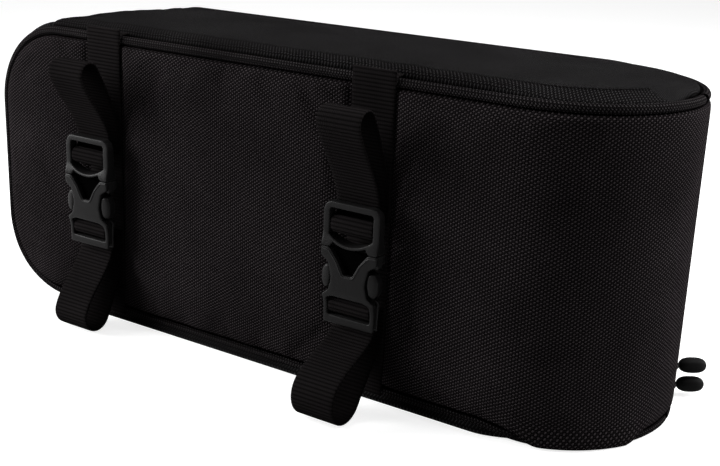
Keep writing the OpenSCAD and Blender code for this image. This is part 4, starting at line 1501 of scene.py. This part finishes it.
def zip_strip(name, i0, i1, z_low, body, node):
    """Woven tape between two insets."""
    share = np.linspace(0, 1, 5)
    a = zip_line(i0, z_low)
    line = between(a, zip_line(i1, z_low), share)
    uv = joined(lengths(a)[:, None], share[None] * (i1 - i0))
    outer = skin(line[..., 0], line[..., 1], -TAPE_DEPTH)
    inner = skin(line[..., 0], line[..., 1], -TAPE_DEPTH - TAPE_T)
    return fitted(shell(name, outer, inner, uv, tape_cloth, i1 > i0), [node], body)


def zip_coil(name, middle, z_low, phase, body, node):
    """The zipper's spiral of wire, sewn on the tape's edge."""
    pitch = COIL_PITCH
    a, b = zip_line(middle - 1 * MM, z_low), zip_line(middle + 1 * MM, z_low)
    length = lengths((a + b) / 2)
    turns = int(length[-1] / pitch)
    phi = 2 * PI * np.arange(turns * 8 + 1) / 8 + phase
    at = np.linspace(0, turns * pitch, len(phi))
    share = 0.5 + COIL_HALF_W * np.cos(phi) / (2 * MM)
    line = [np.interp(at, length, a[:, k]) * (1 - share) + np.interp(at, length, b[:, k]) * share
            for k in (0, 1)]
    path = skin(line[0], line[1], -COIL_DEPTH + COIL_HALF_T * np.sin(phi))
    tangent = unit(np.gradient(path, axis=0))
    side = unit(np.cross(tangent, skin_normal(line[0], line[1])))
    s = Solid()
    around = np.linspace(0, 2 * PI, WIRE_SIDES, endpoint=False)
    s.swept(path, side, np.cross(side, tangent), WIRE_R, around)
    return s.finish(name, lambda p: p, [coil_plastic], "zipper_coil", body, node)


HINGE_X0 = CORNER_X + 6 * MM
SILL_END = math.acos(math.cos(ZIP_ANGLE + math.radians(5)) - 3 * MM / END_R)
PATCH_DEPTH = TAPE_DEPTH - 0.4 * MM


def back_patch(name, line, depth, node, flip):
    """Cloth on the back of the case, as a grid of (s, z) places."""
    outer = skin(line[..., 0], line[..., 1], -depth)
    inner = skin(line[..., 0], line[..., 1], -TAPE_DEPTH - TAPE_T)
    return fitted(shell(name, outer, inner, line, welt_cloth, flip), [node], "case")


def corner_line(i):
    """(s, z) at inset i from the zipper's left end round the low corner to the hinge."""
    x = np.linspace(CORNER_X, HINGE_X0 + 1 * MM, 6)
    return line_of(back_arc(i, low_turn(i) - 0.01, 1.5 * PI, 16), joined(s_at_back(x), i))


def corner_piece():
    line = between(corner_line(TAPE_EDGE), corner_line(LID_INSET - 0.4 * MM), np.linspace(0, 1, 6))
    return back_patch("corner_cloth", line, PATCH_DEPTH, "zip_tape_case", True)


def sill_piece():
    """The low edge of the opening on the round end, between the hinge and the zipper."""
    s = np.linspace(s_at_angle(SILL_END), FRONT_L + END_L + 1 * MM, 24)
    z = np.linspace(TAPE_EDGE, LID_INSET - 0.45 * MM, 10)
    return back_patch("sill_cloth", joined(s[:, None], z[None]), 0.6 * MM, "hinge_strip", False)


def zip_corner_piece():
    """The cloth between the zipper's right corner at the top and the square corner of the walls."""
    r = window_r(TAPE_EDGE)
    turn = np.linspace(0, PI / 2, 25)[:, None]
    share = np.linspace(0, 1, 6)[None]
    reach = r * ((1 - share) / np.maximum(np.cos(turn), np.sin(turn)) + 0.98 * share)
    line = joined(window_arc(reach, turn), HEIGHT - TAPE_EDGE - r + reach * np.sin(turn))
    return back_patch("zip_corner_cloth", line, PATCH_DEPTH, "zip_tape_case", True)


corner_piece()
sill_piece()
zip_corner_piece()
zip_strip("zip_tape_case_cloth", TAPE_EDGE, ZIP_INSET - ZIP_HALF, CHANNEL, "case", "zip_tape_case")
zip_strip("zip_tape_lid_cloth", LID_INSET + 0.6 * MM, ZIP_INSET + ZIP_HALF, LID_ZIP_Z, "lid", "zip_tape_lid")
zip_coil("zip_coil_case_wire", ZIP_INSET - COIL_OFF, CHANNEL + 0.8 * MM, 0.0, "case", "zip_coil_case")
zip_coil("zip_coil_lid_wire", ZIP_INSET + COIL_OFF, LID_ZIP_Z, PI, "lid", "zip_coil_lid")


PULL_R = 4.5
PULL_FROM, PULL_TO = 2.0, 17.2


def on_zip(pin):
    """Places millimetres counted from a slider's pin: across the zipper, out from the case, and up."""
    outward = np.array([math.cos(ZIP_ANGLE), math.sin(ZIP_ANGLE), 0.0])
    across = np.array([-math.sin(ZIP_ANGLE), math.cos(ZIP_ANGLE), 0.0])

    def place(points):
        a, out, z = (points[:, k:k + 1] * MM for k in range(3))
        return np.array(pin) + a * across + out * outward + z * np.array([0.0, 0.0, 1.0])
    return place


def box_outline(a, b, z0, z1, r):
    return rounded([(a, z0, r), (b, z0, r), (b, z1, r), (a, z1, r)], 0.35)


def slider_piece(name, pin, body, node):
    s = Solid()
    shield = [(2.3, -2.0, 1.0), (3.9, 3.4, 3.0), (3.9, 8.4, 1.2), (1.0, 7.3, 1.0)]
    s.moulded([rounded(mirrored(shield), 0.35)], -2.1, -3.4, 0.4, 3)
    s.moulded([box_outline(-3.9, 3.9, 0.1, 8.4, 1.2)], -6.5, -7.8, 0.35, 3)
    s.moulded([box_outline(-0.25, 0.25, 5.6, 8.1, 0.1)], -3.0, -6.8, 0.1, 2)
    for way in (-1, 1):
        flange = box_outline(*sorted((way * 3.25, way * 3.9)), 0.4, 8.0, 0.2)
        s.moulded([flange], -2.8, -4.8, 0.2, 2)
        ear = Solid()
        ear.moulded([box_outline(-2.8, 1.1, -1.6, 1.6, 1.5)], way * 2.9 + 0.5, way * 2.9 - 0.5, 0.25, 3)
        s.take(ear, lambda p: p[:, [1, 0, 2]])
    s.rod([(-3.5, 0, 0), (-1, 0, 0), (1, 0, 0), (3.5, 0, 0)], 0.75, 12)
    return s.finish(name, on_zip(pin), [slider_metal], "slider_metal", body, node)


def pull_piece(name, pin, body, node):
    """A moulded capsule on an eye round the slider's pin."""
    s = Solid()
    section = np.array([(1.02, -2.0), (1.25, -2.2), (1.7, -2.2), (1.9, -2.0), (1.9, 2.0), (1.7, 2.2),
                        (1.25, 2.2), (1.02, 2.0)])
    turn = np.linspace(0, 2 * PI, 24, endpoint=False)[:, None]
    r, across = section[None, :, 0], section[None, :, 1]
    eye = joined(across, r * np.cos(turn), r * np.sin(turn))
    s.add(eye.reshape(-1, 3), ring_faces(len(turn), len(section), closed=True))
    s.rod([(0, 1.5, 0.001), (0.001, 2.5, 0), (0, 4.0, 0), (0, 5.5, 0)], [1.15, 1.2, 1.4, 2.2], 14)
    share = np.sin(np.linspace(-PI / 2, PI / 2, 26))
    swell = np.maximum(1 - np.abs(share) ** 2.7, 0) ** 0.5
    out = (PULL_FROM + PULL_TO) / 2 + (PULL_TO - PULL_FROM) / 2 * share
    phi = np.linspace(0, 2 * PI, 32, endpoint=False) + PI / 16
    corner = 1 / np.cos(np.mod(phi, PI / 4) - PI / 8)
    r = PULL_R * swell[:, None] * (0.95 + 0.6 * (corner - corner.min()))[None]
    capsule = joined(r * np.cos(phi), out[:, None], r * np.sin(phi))
    s.add(capsule.reshape(-1, 3), ring_faces(len(out), len(phi)))
    return s.finish(name, on_zip(pin), [pull_rubber], "pull_rubber", body, node)


def stop_piece():
    a, b = low("zip_end_stop") / MM, high("zip_end_stop") / MM
    s = Solid()
    s.moulded([box_outline(a.x, b.x, a.z, b.z, 0.5)], b.y, a.y, 0.3, 3)
    return s.finish("zip_end_block", lambda p: p * MM, [coil_plastic], "zipper_coil", "case", "zip_end_stop")


for level, slider_body in (("upper", "slider_upper"), ("lower", "case")):
    pin = joint(f"pull_{level}_swing")["pos_m"]
    slider_piece(f"slider_{level}_shell", pin, slider_body, f"slider_{level}")
    pull_piece(f"pull_{level}_grip", pin, f"pull_{level}", f"pull_{level}")
stop_piece()


# ---- Hinge ----

HINGE = joint("lid_hinge")["pos_m"]
BEAD_R = 1.2 * MM
HINGE_HALF_T = 0.35 * MM


def hinge_piece():
    """Cloth along the bottom of the back, from the case's piping over a rolled bead to the lid."""
    x = np.linspace(HINGE_X0 - 2 * MM, END_X + 1 * MM, 90)[:, None]
    lump_r = 1.2 * BEAD_R
    z = np.concatenate([np.linspace(CHANNEL - 1.5 * MM, HINGE[2] - 2 * BEAD_R, 6),
                        HINGE[2] + lump_r * np.sin(np.linspace(-PI / 2, PI / 2, 9)),
                        np.linspace(HINGE[2] + 2 * BEAD_R, LID_INSET + 1.2 * MM, 5)])
    lump = np.sqrt(np.maximum(lump_r**2 - (z - HINGE[2]) ** 2, 0))
    y = END_R - TAPE_DEPTH - TAPE_T / 2 + lump
    outer, inner = (joined(x, (y + way * HINGE_HALF_T)[None], z[None]) for way in (1, -1))
    piece = shell("hinge_cloth", outer, inner, joined(x, z[None]), welt_cloth, True)
    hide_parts("hinge_strip", "lid_flap")
    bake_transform(piece)


hinge_piece()


# ---- Camera, light and floor ----

def aim_camera():
    """The photograph's viewpoint, fitted to the case's edges in its 720 by 466 frame."""
    azimuth, elevation, roll = math.radians(32.87), math.radians(17.55), math.radians(2.30)
    distance, focal_px, frame_px = 0.6738, 1170.0, 720.0
    target = Vector((0.01776, 0.0, 0.06432))
    back = Vector((math.sin(azimuth) * math.cos(elevation), -math.cos(azimuth) * math.cos(elevation),
                   math.sin(elevation)))
    level = Vector((math.cos(azimuth), math.sin(azimuth), 0))
    upright = back.cross(level)
    right = math.cos(roll) * level + math.sin(roll) * upright
    up = math.cos(roll) * upright - math.sin(roll) * level
    data = bpy.data.cameras.new("camera")
    data.sensor_width = 36
    data.sensor_fit = "HORIZONTAL"
    data.lens = 36 * focal_px / frame_px
    data.clip_start = 0.01
    camera = bpy.data.objects.new("camera", data)
    bpy.context.scene.collection.objects.link(camera)
    at = target + distance * back
    camera.matrix_world = Matrix([[right[i], up[i], back[i], at[i]] for i in range(3)] + [[0, 0, 0, 1]])
    bpy.context.scene.camera = camera


def area_light(name, at, target, size, power):
    data = bpy.data.lights.new(name, "AREA")
    data.shape = "RECTANGLE"
    data.size, data.size_y = size
    data.energy = power
    light = bpy.data.objects.new(name, data)
    light.location = at
    light.rotation_euler = (Vector(target) - Vector(at)).to_track_quat("-Z", "Y").to_euler()
    bpy.context.scene.collection.objects.link(light)


WORLD_LIGHT = 0.10


def studio():
    area_light("key", (-0.8, -0.5, 0.4), (0, 0, 0.08), (0.55, 0.55), 20)
    area_light("top", (0.55, 0.35, 1.1), (0, 0, 0.1), (0.9, 0.7), 24)
    area_light("side", (1.0, 0.75, 0.5), (0.15, 0, 0.08), (0.6, 0.7), 22)
    world = bpy.data.worlds.new("world")
    bpy.context.scene.world = world
    world.use_nodes = True
    nodes, link = world.node_tree.nodes, world.node_tree.links.new
    nodes.clear()
    path = nodes.new("ShaderNodeLightPath")
    seen, reflected = nodes.new("ShaderNodeMath"), nodes.new("ShaderNodeMath")
    seen.operation = reflected.operation = "MAXIMUM"
    link(path.outputs["Is Glossy Ray"], reflected.inputs[0])
    link(path.outputs["Is Transmission Ray"], reflected.inputs[1])
    link(path.outputs["Is Camera Ray"], seen.inputs[0])
    link(reflected.outputs[0], seen.inputs[1])
    strength = nodes.new("ShaderNodeMapRange")
    strength.inputs["To Min"].default_value = WORLD_LIGHT
    strength.inputs["To Max"].default_value = 1.0
    link(seen.outputs[0], strength.inputs["Value"])
    light = nodes.new("ShaderNodeBackground")
    light.inputs["Color"].default_value = (1, 1, 1, 1)
    link(strength.outputs[0], light.inputs["Strength"])
    link(light.outputs[0], nodes.new("ShaderNodeOutputWorld").inputs["Surface"])


FLOOR_HALF, FLOOR_ALBEDO, FLOOR_GLOW = 3.0, 0.42, 0.78


def floor():
    corners = [(x * FLOOR_HALF, y * FLOOR_HALF, 0) for x, y in ((-1, -1), (1, -1), (1, 1), (-1, 1))]
    obj = new_object("floor", corners, [(0, 1, 2, 3)])
    m = Shader("floor_paper")
    tree = m.tree
    path = m.node("ShaderNodeLightPath")
    seen = m.math("MAXIMUM", path.outputs["Is Camera Ray"], path.outputs["Is Glossy Ray"])
    seen = m.math("MAXIMUM", seen, path.outputs["Is Transmission Ray"])
    glow = m.node("ShaderNodeEmission")
    m.put(glow.inputs["Strength"], m.math("MULTIPLY", seen, FLOOR_GLOW))
    both = m.node("ShaderNodeAddShader")
    m.finish(Base_Color=(FLOOR_ALBEDO,) * 3, Roughness=0.9, Specular_IOR_Level=0.1)
    out = tree.nodes["Material Output"]
    tree.links.new(m.bsdf.outputs[0], both.inputs[0])
    tree.links.new(glow.outputs[0], both.inputs[1])
    tree.links.new(both.outputs[0], out.inputs["Surface"])
    obj.data.materials.append(m.material)


aim_camera()
studio()
floor()
bpy.context.scene.view_settings.view_transform = "Standard"
